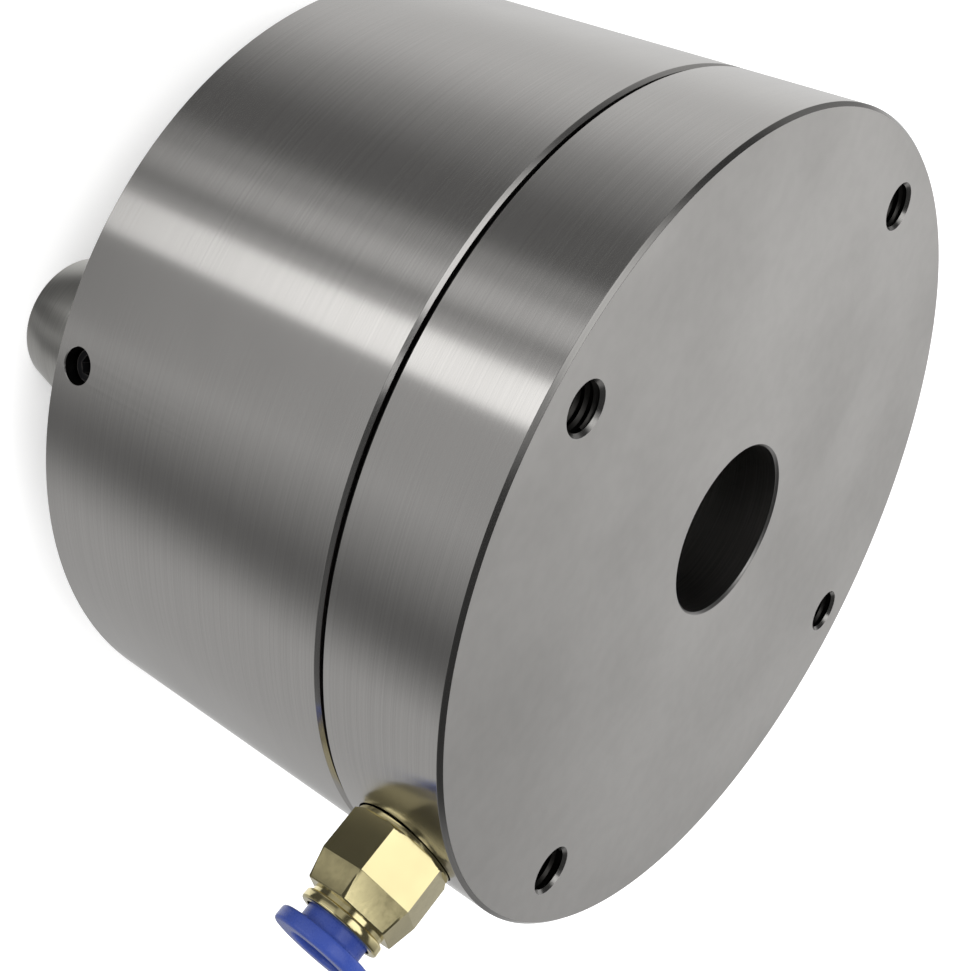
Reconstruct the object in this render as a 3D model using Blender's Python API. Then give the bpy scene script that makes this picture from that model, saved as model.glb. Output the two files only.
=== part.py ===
"""Pneumatic ball-lock chuck for spark erosion electrodes, built in metres.

The chuck hangs from a machine head by its base face, which is up (+Z). Here it stands
on its four support pillars, whose tips lie at Z = 0, with its axis on Z. The air
fitting points along +X.

Springs push the piston up, its cone drives the lock balls inwards, and the spigot in the
bore is held. Air let in through the fitting drives the piston down and frees the balls.
"""
from math import cos, pi, radians, sin, sqrt, tan

import bmesh
import bpy
from mathutils import Matrix, Vector

# Clearances
SEAT_GAP = 0.0003       # between faces and diameters that seat on each other
THREAD_GAP = 0.0002     # round a screw in its tapped hole

# Bore and lock balls
BORE_DIAMETER = 0.0208
BALL_COUNT = 6
BALL_DIAMETER = 0.0090
BALL_REACH = 0.0024     # how far a locked ball stands into the bore
BALL_BACK = 0.0010      # how far a locked ball stands out of the cage, towards the cone
BALL_LIP = 0.0005       # rim that keeps a ball out of the empty bore
BALL_LIP_GAP = 0.0002

# Ball cage
CAGE_FLANGE_WIDTH = 0.0060
CAGE_FLANGE_THICKNESS = 0.0030
CAGE_RECESS = 0.0005
CAGE_SOCKET_DEPTH = 0.0060
CAGE_LEAD = 0.0015

# Piston
CONE_ANGLE = 30.0
GUIDE_LENGTH = 0.0025
PISTON_LAND = 0.00457   # carries the two seals above the relief for the balls
PISTON_WALL = 0.0021    # outside the spring pockets
PISTON_STOP_GAP = 0.0005
PISTON_FOOT_GAP = 0.0010
PISTON_EDGE = 0.0005

# Clamping springs
SPRING_COUNT = 8
SPRING_DIAMETER = 0.0080
SPRING_WIRE = 0.0012
SPRING_TURNS = 4
SPRING_POCKET_GAP = 0.0006
SPRING_WEB = 0.0024     # between the cage flange and the spring pockets
HOUSING_POCKET_DEPTH = 0.0060
PISTON_POCKET_DEPTH = 0.0100

# Housing and base disc; they come out 100 mm across and 60 mm long
HOUSING_WALL = 0.0140
FRONT_WALL = 0.0120
DISC_THICKNESS = 0.0160
SPIGOT_HEIGHT = 0.0040
RIM_CHAMFER = 0.00045
JOINT_CHAMFER = 0.0004      # on the housing
DISC_JOINT_CHAMFER = 0.0006
BORE_CHAMFER = 0.0003

# Tapped mounting holes in the base face
MOUNT_HOLE_DIAMETER = 0.0060
MOUNT_HOLE_FLOOR = 0.0040
MOUNT_HOLE_CHAMFER = 0.0002
MOUNT_HOLE_INSET = 0.0068
MOUNT_HOLE_ANGLE = 22.5
DRILL_POINT_ANGLE = 59.0

# Screws that hold the base disc, put in from the chuck face
BASE_SCREW_DIAMETER = 0.0050
BASE_SCREW_GRIP = 0.0080
BASE_SCREW_HEAD_DIAMETER = 0.0085
BASE_SCREW_HEAD_HEIGHT = 0.0050
BASE_SCREW_SINK = 0.0006
BASE_SCREW_ANGLE = 67.5

# Shape of every cap screw: shares of its thread diameter and of its head height
KEY_SOCKET_SHARE = 0.46
KEY_SOCKET_DEPTH_SHARE = 0.55
SCREW_EDGE = 0.0004

# Support pillars and the side screws that lock them
PILLAR_HEIGHT = 0.0110
PILLAR_DIAMETER = 0.0180
PILLAR_LEAD_LENGTH = 0.0045
PILLAR_LEAD_DEPTH = 0.0010
PILLAR_SHANK_DIAMETER = 0.0100
PILLAR_SHANK_FLOOR = 0.0025
PILLAR_NOTCH_DEPTH = 0.0006
PILLAR_INSET = 0.0034   # from the rim of the chuck face to the pillar
PILLAR_ANGLE = 45.0
SIDE_SCREW_DIAMETER = 0.0040
SIDE_SCREW_HEIGHT = 0.0038
SIDE_SCREW_SINK = 0.0015
SIDE_SCREW_KEY_RADIUS = 0.0012
SIDE_SCREW_KEY_DEPTH = 0.0025

# Centring prisms and their screws
PRISM_LENGTH = 0.0140
PRISM_HEIGHT = 0.0070
PRISM_RIM = 0.0006      # beside the counterbore, at the prism's tip
PRISM_FLANK = 0.0016    # by which a flank leans out from tip to root
PRISM_SEAT_DEPTH = 0.0025
PRISM_INSET = 0.0090    # from the wall to the prism's outer end
PRISM_BEVEL = 0.0004
PRISM_ANGLE = 0.0
PRISM_SCREW_DIAMETER = 0.0040
PRISM_SCREW_FLOOR = 0.0035
PRISM_SCREW_HEAD_DIAMETER = 0.0070
PRISM_SCREW_HEAD_HEIGHT = 0.0040
PRISM_SCREW_SINK = 0.0005

# Round seals
SEAL_THICKNESS = 0.0015
PISTON_SEAL_THICKNESS = 0.0020
TUBE_SEAL_THICKNESS = 0.0009

# Air passage in the base disc
PORT_THREAD_DIAMETER = 0.0060
PORT_THREAD_LENGTH = 0.0080
PORT_SPOT_MARGIN = 0.0003   # round the washer face of the fitting
PORT_SPOT_DEPTH = 0.0008
AIRWAY_DIAMETER = 0.0040

# Push-in air fitting: a washer face on the wall, a hexagon that tapers, a neck and a ring
FITTING_HEX_WIDTH = 0.0112
FITTING_HEX_CORNER = 12.3
FITTING_HEX_LENGTH = 0.0058  # with the washer face and the chamfer behind it
FITTING_WASHER_DIAMETER = 0.0116
FITTING_WASHER_THICKNESS = 0.0003
FITTING_BACK_CHAMFER = 0.00035
FITTING_TAPER_LENGTH = 0.0031
FITTING_TAPER_STEP = 0.0005
FITTING_NECK_WALL = 0.00035
FITTING_NECK_LENGTH = 0.0006
FITTING_RING_STEP = 0.00045
FITTING_RING_LENGTH = 0.0012
FITTING_SOCKET_WALL = 0.0006
TUBE_DIAMETER = 0.0060
TUBE_GAP = 0.00025
GRIP_LENGTH = 0.0009
COLLAR_WALL = 0.0005
COLLAR_EDGE = 0.00025
COLLAR_TRAVEL = 0.0012
COLLAR_REST_GAP = 0.0004
COLLAR_FLANGE_WIDTH = 0.00195
COLLAR_FLANGE_THICKNESS = 0.0017

# Sides of the round pieces, the angle that stays sharp, and where points join
SIDES_LARGE = 48
SIDES_MEDIUM = 28
SIDES_SMALL = 16
SIDES_HOLE = 12
SIDES_SEAL = 5
SIDES_WIRE = 5
SIDES_FITTING = 24
RINGS_BALL = 7
STEPS_COIL = 8
SHARP_ANGLE = 35.0
MERGE_DISTANCE = 1e-6

# Radii from the bore out to the wall
BORE_R = BORE_DIAMETER / 2
BALL_R = BALL_DIAMETER / 2
BALL_CENTRE_R = BORE_R - BALL_REACH + BALL_R
CAGE_R = BALL_CENTRE_R + BALL_R - BALL_BACK
CAGE_HOLE_R = CAGE_R + SEAT_GAP
FLANGE_R = CAGE_R + CAGE_FLANGE_WIDTH
SPRING_POCKET_R = SPRING_DIAMETER / 2 + SPRING_POCKET_GAP
SPRING_CIRCLE_R = FLANGE_R + SPRING_WEB + SPRING_POCKET_R
PISTON_R = SPRING_CIRCLE_R + SPRING_POCKET_R + PISTON_WALL
CYLINDER_R = PISTON_R + SEAT_GAP
OUTER_R = CYLINDER_R + HOUSING_WALL
BASE_SCREW_CIRCLE_R = (CYLINDER_R + OUTER_R) / 2
MOUNT_CIRCLE_R = OUTER_R - MOUNT_HOLE_INSET
PRISM_CIRCLE_R = OUTER_R - PRISM_INSET - PRISM_LENGTH / 2
PILLAR_CIRCLE_R = OUTER_R - PILLAR_INSET - PILLAR_DIAMETER / 2
AIRWAY_CIRCLE_R = (CAGE_R + PISTON_R) / 2

# Heights from the pillar tips up to the base face
FACE_Z = PILLAR_HEIGHT
FLOOR_Z = FACE_Z + FRONT_WALL
FLANGE_Z = FLOOR_Z + SEAT_GAP
FLANGE_TOP_Z = FLANGE_Z + CAGE_FLANGE_THICKNESS
CONE_SLOPE = tan(radians(CONE_ANGLE))
STROKE = BALL_REACH / CONE_SLOPE
PISTON_FOOT_Z = FLANGE_TOP_Z + PISTON_FOOT_GAP + STROKE
CONE_START_Z = PISTON_FOOT_Z + GUIDE_LENGTH
CONE_TOUCH_R = BALL_CENTRE_R + (BALL_R + SEAT_GAP) * cos(radians(CONE_ANGLE))
CONE_TOUCH_Z = CONE_START_Z + (CONE_TOUCH_R - CAGE_HOLE_R) / CONE_SLOPE
BALL_Z = CONE_TOUCH_Z + (BALL_R + SEAT_GAP) * sin(radians(CONE_ANGLE))
RELIEF_R = BALL_CENTRE_R + BALL_REACH + BALL_R + 2 * SEAT_GAP
CONE_END_Z = CONE_START_Z + (RELIEF_R - CAGE_HOLE_R) / CONE_SLOPE
RELIEF_TOP_Z = BALL_Z + BALL_R + STROKE + SEAT_GAP
PISTON_TOP_Z = RELIEF_TOP_Z + PISTON_LAND
SPIGOT_Z = PISTON_TOP_Z + PISTON_STOP_GAP
JOINT_Z = SPIGOT_Z + SPIGOT_HEIGHT
BASE_Z = JOINT_Z + DISC_THICKNESS
PORT_Z = (JOINT_Z + BASE_Z) / 2

STEEL_GROUND = ("ground_steel", (0.55, 0.54, 0.52), 0.28, 1.0)
STEEL_HARD = ("hardened_steel", (0.50, 0.50, 0.49), 0.22, 1.0)
STEEL_BALL = ("ball_steel", (0.62, 0.62, 0.63), 0.08, 1.0)
STEEL_SPRING = ("spring_steel", (0.30, 0.30, 0.31), 0.35, 1.0)
SCREW_BLACK = ("black_screw", (0.02, 0.02, 0.022), 0.45, 0.6)
BRASS = ("brass", (0.68, 0.56, 0.30), 0.25, 1.0)
PLASTIC_BLUE = ("blue_plastic", (0.05, 0.09, 0.36), 0.40, 0.0)
RUBBER = ("black_rubber", (0.02, 0.02, 0.02), 0.60, 0.0)


def clear_scene():
    """Empty the scene of what it starts with."""
    for old in list(bpy.data.objects):
        bpy.data.objects.remove(old, do_unlink=True)


def material(finish):
    """Return the Principled material of one finish, made once."""
    name, colour, roughness, metallic = finish
    if name in bpy.data.materials:
        return bpy.data.materials[name]
    made = bpy.data.materials.new(name)
    made.use_nodes = True
    shader = made.node_tree.nodes["Principled BSDF"]
    shader.inputs["Base Color"].default_value = (*colour, 1.0)
    shader.inputs["Roughness"].default_value = roughness
    shader.inputs["Metallic"].default_value = metallic
    made.diffuse_color = (*colour, 1.0)
    return made


def mesh_of(name, shape):
    """Turn a finished bmesh into a smooth-shaded mesh whose faces point out."""
    bmesh.ops.recalc_face_normals(shape, faces=shape.faces)
    mesh = bpy.data.meshes.new(name)
    shape.to_mesh(mesh)
    shape.free()
    mesh.shade_smooth()
    mesh.set_sharp_from_angle(angle=radians(SHARP_ANGLE))
    return mesh


def place(name, mesh, finish, matrix=None):
    """Put one object in the scene with its material and its place."""
    piece = bpy.data.objects.new(name, mesh)
    bpy.context.scene.collection.objects.link(piece)
    if not mesh.materials:
        mesh.materials.append(material(finish))
    if matrix is not None:
        piece.matrix_world = matrix
    return piece


def polar(radius, angle, z=0.0):
    """Point at a radius and an angle in degrees round the chuck axis."""
    return Vector((radius * cos(radians(angle)), radius * sin(radians(angle)), z))


def around(angle, radius=0.0, z=0.0):
    """Place that turns a piece about the chuck axis and moves it outwards."""
    return Matrix.Rotation(radians(angle), 4, "Z") @ Matrix.Translation((radius, 0.0, z))


def along_x(x=0.0, z=0.0):
    """Place whose local Z runs along +X and whose local X points down."""
    return Matrix.Translation((x, 0.0, z)) @ Matrix.Rotation(pi / 2, 4, "Y")


def turned(profile, sides, matrix=None):
    """Return a bmesh of one turned body: the (radius, z) outline spun about Z."""
    shape = bmesh.new()
    points = [shape.verts.new((r, 0.0, z)) for r, z in profile]
    pairs = list(zip(points, points[1:]))
    ends_on_axis = profile[0][0] == 0.0 and profile[-1][0] == 0.0
    if not ends_on_axis:
        pairs.append((points[-1], points[0]))
    edges = [shape.edges.new(pair) for pair in pairs]
    bmesh.ops.spin(shape, geom=points + edges, cent=(0, 0, 0), axis=(0, 0, 1),
                   angle=2 * pi, steps=sides, use_merge=True)
    bmesh.ops.remove_doubles(shape, verts=shape.verts, dist=MERGE_DISTANCE)
    if matrix is not None:
        bmesh.ops.transform(shape, matrix=matrix, verts=shape.verts)
    return shape


def box(length, width, z_low, z_high, matrix):
    """Return a bmesh of a box that is centred on its place and spans two heights."""
    shape = bmesh.new()
    size = Matrix.Diagonal((length, width, z_high - z_low, 1.0))
    middle = Matrix.Translation((0.0, 0.0, (z_low + z_high) / 2))
    bmesh.ops.create_cube(shape, size=1.0, matrix=matrix @ middle @ size)
    return shape


def seal_profile(inner_radius, thickness):
    """Outline of a round seal: a small circle outside a radius."""
    half = thickness / 2
    steps = [2 * pi * k / SIDES_SEAL for k in range(SIDES_SEAL)]
    return [(inner_radius + half + half * cos(step), half * sin(step)) for step in steps]


def cutter(name, shapes):
    """Join shapes into one hidden wire object that only cuts."""
    mesh = bpy.data.meshes.new(name)
    joined = bmesh.new()
    for shape in shapes:
        bmesh.ops.recalc_face_normals(shape, faces=shape.faces)
        shape.to_mesh(mesh)
        shape.free()
        joined.from_mesh(mesh)
    joined.to_mesh(mesh)
    joined.free()
    tool = bpy.data.objects.new(name, mesh)
    bpy.context.scene.collection.objects.link(tool)
    tool.hide_render = True
    tool.display_type = "WIRE"
    return tool


def cut(piece, *tools):
    """Subtract each cutter from the piece, in order."""
    for tool in tools:
        step = piece.modifiers.new(tool.name, "BOOLEAN")
        step.operation = "DIFFERENCE"
        step.solver = "EXACT"
        step.object = tool


def quarters(first):
    """The four angles of a cross pattern."""
    return [first + 90.0 * k for k in range(4)]


def ball_angle(k):
    """Angle of a lock ball round the bore."""
    return 360.0 / BALL_COUNT * k


def spring_angle(k):
    """Angle of a clamping spring, between the prisms and the pillars."""
    return 360.0 / SPRING_COUNT * (k + 0.5)


def drill(radius, z_low, z_high):
    """Outline of a plain drilled hole between two heights."""
    return [(0.0, z_low), (radius, z_low), (radius, z_high), (0.0, z_high)]


def counterbore(head_radius, screw_radius, z_low, z_seat, z_high):
    """Outline of a screw hole with room for the head below its seat."""
    return [(0.0, z_low), (head_radius, z_low), (head_radius, z_seat), (screw_radius, z_seat),
            (screw_radius, z_high), (0.0, z_high)]


def cap_screw_profile(diameter, shank, head_diameter, head_height):
    """Outline of a socket cap screw, head down, with the seat under its head at z = 0."""
    r, head_r = diameter / 2, head_diameter / 2
    socket_r = diameter * KEY_SOCKET_SHARE
    socket_z = -head_height + head_height * KEY_SOCKET_DEPTH_SHARE
    return [(0.0, socket_z), (socket_r, socket_z), (socket_r, -head_height),
            (head_r - SCREW_EDGE, -head_height), (head_r, -head_height + SCREW_EDGE),
            (head_r, 0.0), (r, 0.0), (r, shank - SCREW_EDGE), (r - SCREW_EDGE, shank),
            (0.0, shank)]


def build_housing():
    """The cup-shaped housing that holds the cylinder and carries the chuck face."""
    top = JOINT_Z - SEAT_GAP
    profile = [
        (CAGE_HOLE_R, FACE_Z),
        (OUTER_R - RIM_CHAMFER, FACE_Z),
        (OUTER_R, FACE_Z + RIM_CHAMFER),
        (OUTER_R, top - JOINT_CHAMFER),
        (OUTER_R - JOINT_CHAMFER, top),
        (CYLINDER_R + JOINT_CHAMFER, top),
        (CYLINDER_R, top - JOINT_CHAMFER),
        (CYLINDER_R, FLOOR_Z),
        (CAGE_HOLE_R, FLOOR_Z),
    ]
    housing = place("housing", mesh_of("housing", turned(profile, SIDES_LARGE)), STEEL_GROUND)
    below, above = FACE_Z - RIM_CHAMFER, JOINT_Z + RIM_CHAMFER

    shank_hole = drill(PILLAR_SHANK_DIAMETER / 2 + SEAT_GAP, below,
                       FLOOR_Z - PILLAR_SHANK_FLOOR + SEAT_GAP)
    screw_hole = counterbore(BASE_SCREW_HEAD_DIAMETER / 2 + SEAT_GAP,
                             BASE_SCREW_DIAMETER / 2 + SEAT_GAP, below,
                             FACE_Z + BASE_SCREW_SINK + BASE_SCREW_HEAD_HEIGHT + SEAT_GAP, above)
    pocket = drill(SPRING_POCKET_R, FLOOR_Z - HOUSING_POCKET_DEPTH, FLOOR_Z + RIM_CHAMFER)
    holes = [turned(shank_hole, SIDES_SMALL, around(angle, PILLAR_CIRCLE_R))
             for angle in quarters(PILLAR_ANGLE)]
    holes += [turned(screw_hole, SIDES_HOLE, around(angle, BASE_SCREW_CIRCLE_R))
              for angle in quarters(BASE_SCREW_ANGLE)]
    holes += [turned(pocket, SIDES_HOLE, around(spring_angle(k), SPRING_CIRCLE_R))
              for k in range(SPRING_COUNT)]

    keyway_z = FACE_Z + PRISM_SEAT_DEPTH
    keyways = [box(PRISM_LENGTH + 2 * SEAT_GAP, prism_width() + 2 * SEAT_GAP, below, keyway_z,
                   around(angle, PRISM_CIRCLE_R)) for angle in quarters(PRISM_ANGLE)]

    prism_tap = drill(PRISM_SCREW_DIAMETER / 2 + THREAD_GAP, keyway_z - PRISM_SEAT_DEPTH / 2,
                      FLOOR_Z - PRISM_SCREW_FLOOR + THREAD_GAP)
    side_tap = drill(SIDE_SCREW_DIAMETER / 2 + THREAD_GAP, PILLAR_CIRCLE_R, OUTER_R + RIM_CHAMFER)
    taps = [turned(prism_tap, SIDES_HOLE, around(angle, PRISM_CIRCLE_R))
            for angle in quarters(PRISM_ANGLE)]
    taps += [turned(side_tap, SIDES_HOLE, around(angle) @ along_x(z=FACE_Z + SIDE_SCREW_HEIGHT))
             for angle in quarters(PILLAR_ANGLE)]
    cut(housing, cutter("housing_holes", holes), cutter("prism_keyways", keyways),
        cutter("housing_taps", taps))


def build_base_disc():
    """The disc that closes the cylinder and is bolted to the machine head."""
    seal_r = PISTON_R - SEAL_THICKNESS - SEAT_GAP
    seal_half = SEAL_THICKNESS / 2 + SEAT_GAP
    seal_z = (SPIGOT_Z + JOINT_Z) / 2
    profile = [
        (BORE_R, BASE_Z - BORE_CHAMFER),
        (BORE_R, SPIGOT_Z + CAGE_SOCKET_DEPTH),
        (CAGE_HOLE_R, SPIGOT_Z + CAGE_SOCKET_DEPTH),
        (CAGE_HOLE_R, SPIGOT_Z),
        (PISTON_R, SPIGOT_Z),
        (PISTON_R, seal_z - seal_half),
        (seal_r, seal_z - seal_half),
        (seal_r, seal_z + seal_half),
        (PISTON_R, seal_z + seal_half),
        (PISTON_R, JOINT_Z),
        (OUTER_R - DISC_JOINT_CHAMFER, JOINT_Z),
        (OUTER_R, JOINT_Z + DISC_JOINT_CHAMFER),
        (OUTER_R, BASE_Z - RIM_CHAMFER),
        (OUTER_R - RIM_CHAMFER, BASE_Z),
        (BORE_R + BORE_CHAMFER, BASE_Z),
    ]
    disc = place("base_disc", mesh_of("base_disc", turned(profile, SIDES_LARGE)), STEEL_GROUND)

    over = RIM_CHAMFER
    hole_r = MOUNT_HOLE_DIAMETER / 2
    hole_end = JOINT_Z + MOUNT_HOLE_FLOOR
    tapped = [(0.0, hole_end - hole_r / tan(radians(DRILL_POINT_ANGLE))), (hole_r, hole_end),
              (hole_r, BASE_Z - MOUNT_HOLE_CHAMFER),
              (hole_r + MOUNT_HOLE_CHAMFER + over, BASE_Z + over), (0.0, BASE_Z + over)]
    blind = drill(BASE_SCREW_DIAMETER / 2 + THREAD_GAP, JOINT_Z - over,
                  JOINT_Z + BASE_SCREW_GRIP + SEAT_GAP)
    airway_r = AIRWAY_DIAMETER / 2
    airway = drill(airway_r, SPIGOT_Z - over, PORT_Z)
    holes = [turned(tapped, SIDES_SMALL, around(angle, MOUNT_CIRCLE_R))
             for angle in quarters(MOUNT_HOLE_ANGLE)]
    holes += [turned(blind, SIDES_HOLE, around(angle, BASE_SCREW_CIRCLE_R))
              for angle in quarters(BASE_SCREW_ANGLE)]
    holes.append(turned(airway, SIDES_HOLE, around(0.0, AIRWAY_CIRCLE_R)))

    port_r = PORT_THREAD_DIAMETER / 2 + THREAD_GAP
    spot_x = OUTER_R - PORT_SPOT_DEPTH
    port_end = spot_x - PORT_THREAD_LENGTH - SEAT_GAP
    spot_r = FITTING_WASHER_DIAMETER / 2 + PORT_SPOT_MARGIN
    port = [(0.0, AIRWAY_CIRCLE_R - airway_r), (airway_r, AIRWAY_CIRCLE_R - airway_r),
            (airway_r, port_end), (port_r, port_end), (port_r, spot_x), (spot_r, spot_x),
            (spot_r, OUTER_R + over), (0.0, OUTER_R + over)]
    passage = [turned(port, SIDES_SMALL, along_x(z=PORT_Z))]
    cut(disc, cutter("disc_holes", holes), cutter("air_port", passage))

    seal = turned(seal_profile(seal_r + SEAT_GAP / 2, SEAL_THICKNESS), SIDES_MEDIUM)
    place("base_seal", mesh_of("base_seal", seal), RUBBER, Matrix.Translation((0, 0, seal_z)))


def build_ball_cage():
    """The flanged sleeve that guides the spigot and holds the lock balls."""
    top = SPIGOT_Z + CAGE_SOCKET_DEPTH - SEAT_GAP
    low = FACE_Z + CAGE_RECESS
    seal_floor = CAGE_R - SEAL_THICKNESS - SEAT_GAP
    half = SEAL_THICKNESS / 2 + SEAT_GAP
    seal_z = SPIGOT_Z + CAGE_SOCKET_DEPTH / 2
    profile = [
        (BORE_R + CAGE_LEAD, low),
        (CAGE_R, low),
        (CAGE_R, FLANGE_Z),
        (FLANGE_R, FLANGE_Z),
        (FLANGE_R, FLANGE_TOP_Z),
        (CAGE_R, FLANGE_TOP_Z),
        (CAGE_R, seal_z - half),
        (seal_floor, seal_z - half),
        (seal_floor, seal_z + half),
        (CAGE_R, seal_z + half),
        (CAGE_R, top),
        (BORE_R, top),
        (BORE_R, low + CAGE_LEAD),
    ]
    cage = place("ball_cage", mesh_of("ball_cage", turned(profile, SIDES_MEDIUM)), STEEL_HARD)
    hole_r = BALL_R + SEAT_GAP
    rim_r = BORE_R + BALL_LIP
    lip_r = sqrt(BALL_R ** 2 - (BALL_CENTRE_R - rim_r) ** 2) + BALL_LIP_GAP
    inside, outside = BORE_R - CAGE_LEAD, CAGE_R + CAGE_LEAD
    window = [(0.0, inside), (lip_r, inside), (lip_r, rim_r), (hole_r, rim_r),
              (hole_r, outside), (0.0, outside)]
    cut(cage, cutter("ball_windows", [
        turned(window, SIDES_HOLE, around(ball_angle(k)) @ along_x(z=BALL_Z))
        for k in range(BALL_COUNT)]))

    seal = turned(seal_profile(seal_floor + SEAT_GAP / 2, SEAL_THICKNESS), SIDES_SMALL)
    place("cage_seal", mesh_of("cage_seal", seal), RUBBER, Matrix.Translation((0, 0, seal_z)))


def build_balls():
    """The lock balls, each with its origin at its centre."""
    shape = bmesh.new()
    bmesh.ops.create_uvsphere(shape, u_segments=SIDES_HOLE, v_segments=RINGS_BALL, radius=BALL_R)
    mesh = mesh_of("lock_ball", shape)
    for k in range(BALL_COUNT):
        spot = Matrix.Translation(polar(BALL_CENTRE_R, ball_angle(k), BALL_Z))
        place(f"lock_ball_{k + 1}", mesh, STEEL_BALL, spot)


def build_piston():
    """The ring piston whose cone drives the balls, with its two seals."""
    outer_floor = PISTON_R - PISTON_SEAL_THICKNESS - SEAT_GAP
    outer_half = PISTON_SEAL_THICKNESS / 2 + SEAT_GAP
    inner_floor = CAGE_HOLE_R + SEAL_THICKNESS + SEAT_GAP
    inner_half = SEAL_THICKNESS / 2 + SEAT_GAP
    seal_z = (RELIEF_TOP_Z + PISTON_TOP_Z) / 2
    profile = [
        (CAGE_HOLE_R, PISTON_FOOT_Z),
        (PISTON_R - PISTON_EDGE, PISTON_FOOT_Z),
        (PISTON_R, PISTON_FOOT_Z + PISTON_EDGE),
        (PISTON_R, seal_z - outer_half),
        (outer_floor, seal_z - outer_half),
        (outer_floor, seal_z + outer_half),
        (PISTON_R, seal_z + outer_half),
        (PISTON_R, PISTON_TOP_Z - PISTON_EDGE),
        (PISTON_R - PISTON_EDGE, PISTON_TOP_Z),
        (CAGE_HOLE_R, PISTON_TOP_Z),
        (CAGE_HOLE_R, seal_z + inner_half),
        (inner_floor, seal_z + inner_half),
        (inner_floor, seal_z - inner_half),
        (CAGE_HOLE_R, seal_z - inner_half),
        (CAGE_HOLE_R, RELIEF_TOP_Z),
        (RELIEF_R, RELIEF_TOP_Z),
        (RELIEF_R, CONE_END_Z),
        (CAGE_HOLE_R, CONE_START_Z),
    ]
    piston = place("piston", mesh_of("piston", turned(profile, SIDES_MEDIUM)), STEEL_HARD)
    pocket = drill(SPRING_POCKET_R, PISTON_FOOT_Z - PISTON_EDGE,
                   PISTON_FOOT_Z + PISTON_POCKET_DEPTH)
    cut(piston, cutter("spring_pockets", [
        turned(pocket, SIDES_HOLE, around(spring_angle(k), SPRING_CIRCLE_R))
        for k in range(SPRING_COUNT)]))

    outer = turned(seal_profile(outer_floor + SEAT_GAP / 2, PISTON_SEAL_THICKNESS), SIDES_MEDIUM)
    inner = turned(seal_profile(CAGE_HOLE_R + SEAT_GAP / 2, SEAL_THICKNESS), SIDES_SMALL)
    spot = Matrix.Translation((0, 0, seal_z))
    place("piston_outer_seal", mesh_of("piston_outer_seal", outer), RUBBER, spot)
    place("piston_inner_seal", mesh_of("piston_inner_seal", inner), RUBBER, spot)


def coil_mesh(length):
    """A compression spring of round wire, swept along its helix and closed at both ends."""
    steps = SPRING_TURNS * STEPS_COIL
    coil_r, wire_r = (SPRING_DIAMETER - SPRING_WIRE) / 2, SPRING_WIRE / 2
    rise = length - SPRING_WIRE
    pitch = rise / (2 * pi * SPRING_TURNS)
    section = [2 * pi * k / SIDES_WIRE for k in range(SIDES_WIRE)]
    shape = bmesh.new()
    rings = []
    for step in range(steps + 1):
        swept = 2 * pi * step / STEPS_COIL
        outward = Vector((cos(swept), sin(swept), 0.0))
        forward = Vector((-coil_r * sin(swept), coil_r * cos(swept), pitch)).normalized()
        upward = outward.cross(forward)
        centre = coil_r * outward + Vector((0.0, 0.0, wire_r + pitch * swept))
        rings.append([shape.verts.new(centre + wire_r * (cos(s) * outward + sin(s) * upward))
                      for s in section])
    for low, high in zip(rings, rings[1:]):
        bridge(shape, low, high)
    shape.faces.new(rings[0])
    shape.faces.new(rings[-1])
    return mesh_of("clamp_spring", shape)


def bridge(shape, low, high):
    """Join two rings of as many points by a band of four-sided faces."""
    for k, (start, end) in enumerate(zip(low, high)):
        after = (k + 1) % len(low)
        shape.faces.new((start, low[after], high[after], end))


def build_springs():
    """The clamping springs between the housing floor and the piston."""
    low = FLOOR_Z - HOUSING_POCKET_DEPTH + SEAT_GAP
    high = PISTON_FOOT_Z + PISTON_POCKET_DEPTH - SEAT_GAP
    mesh = coil_mesh(high - low)
    for k in range(SPRING_COUNT):
        place(f"clamp_spring_{k + 1}", mesh, STEEL_SPRING,
              around(spring_angle(k), SPRING_CIRCLE_R, low))


def build_base_screws():
    """The cap screws that hold the base disc, reached from the chuck face."""
    seat = FACE_Z + BASE_SCREW_SINK + BASE_SCREW_HEAD_HEIGHT
    shank = JOINT_Z + BASE_SCREW_GRIP - seat
    profile = cap_screw_profile(BASE_SCREW_DIAMETER, shank, BASE_SCREW_HEAD_DIAMETER,
                                BASE_SCREW_HEAD_HEIGHT)
    mesh = mesh_of("base_screw", turned(profile, SIDES_HOLE))
    for k, angle in enumerate(quarters(BASE_SCREW_ANGLE)):
        place(f"base_screw_{k + 1}", mesh, SCREW_BLACK, around(angle, BASE_SCREW_CIRCLE_R, seat))


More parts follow.
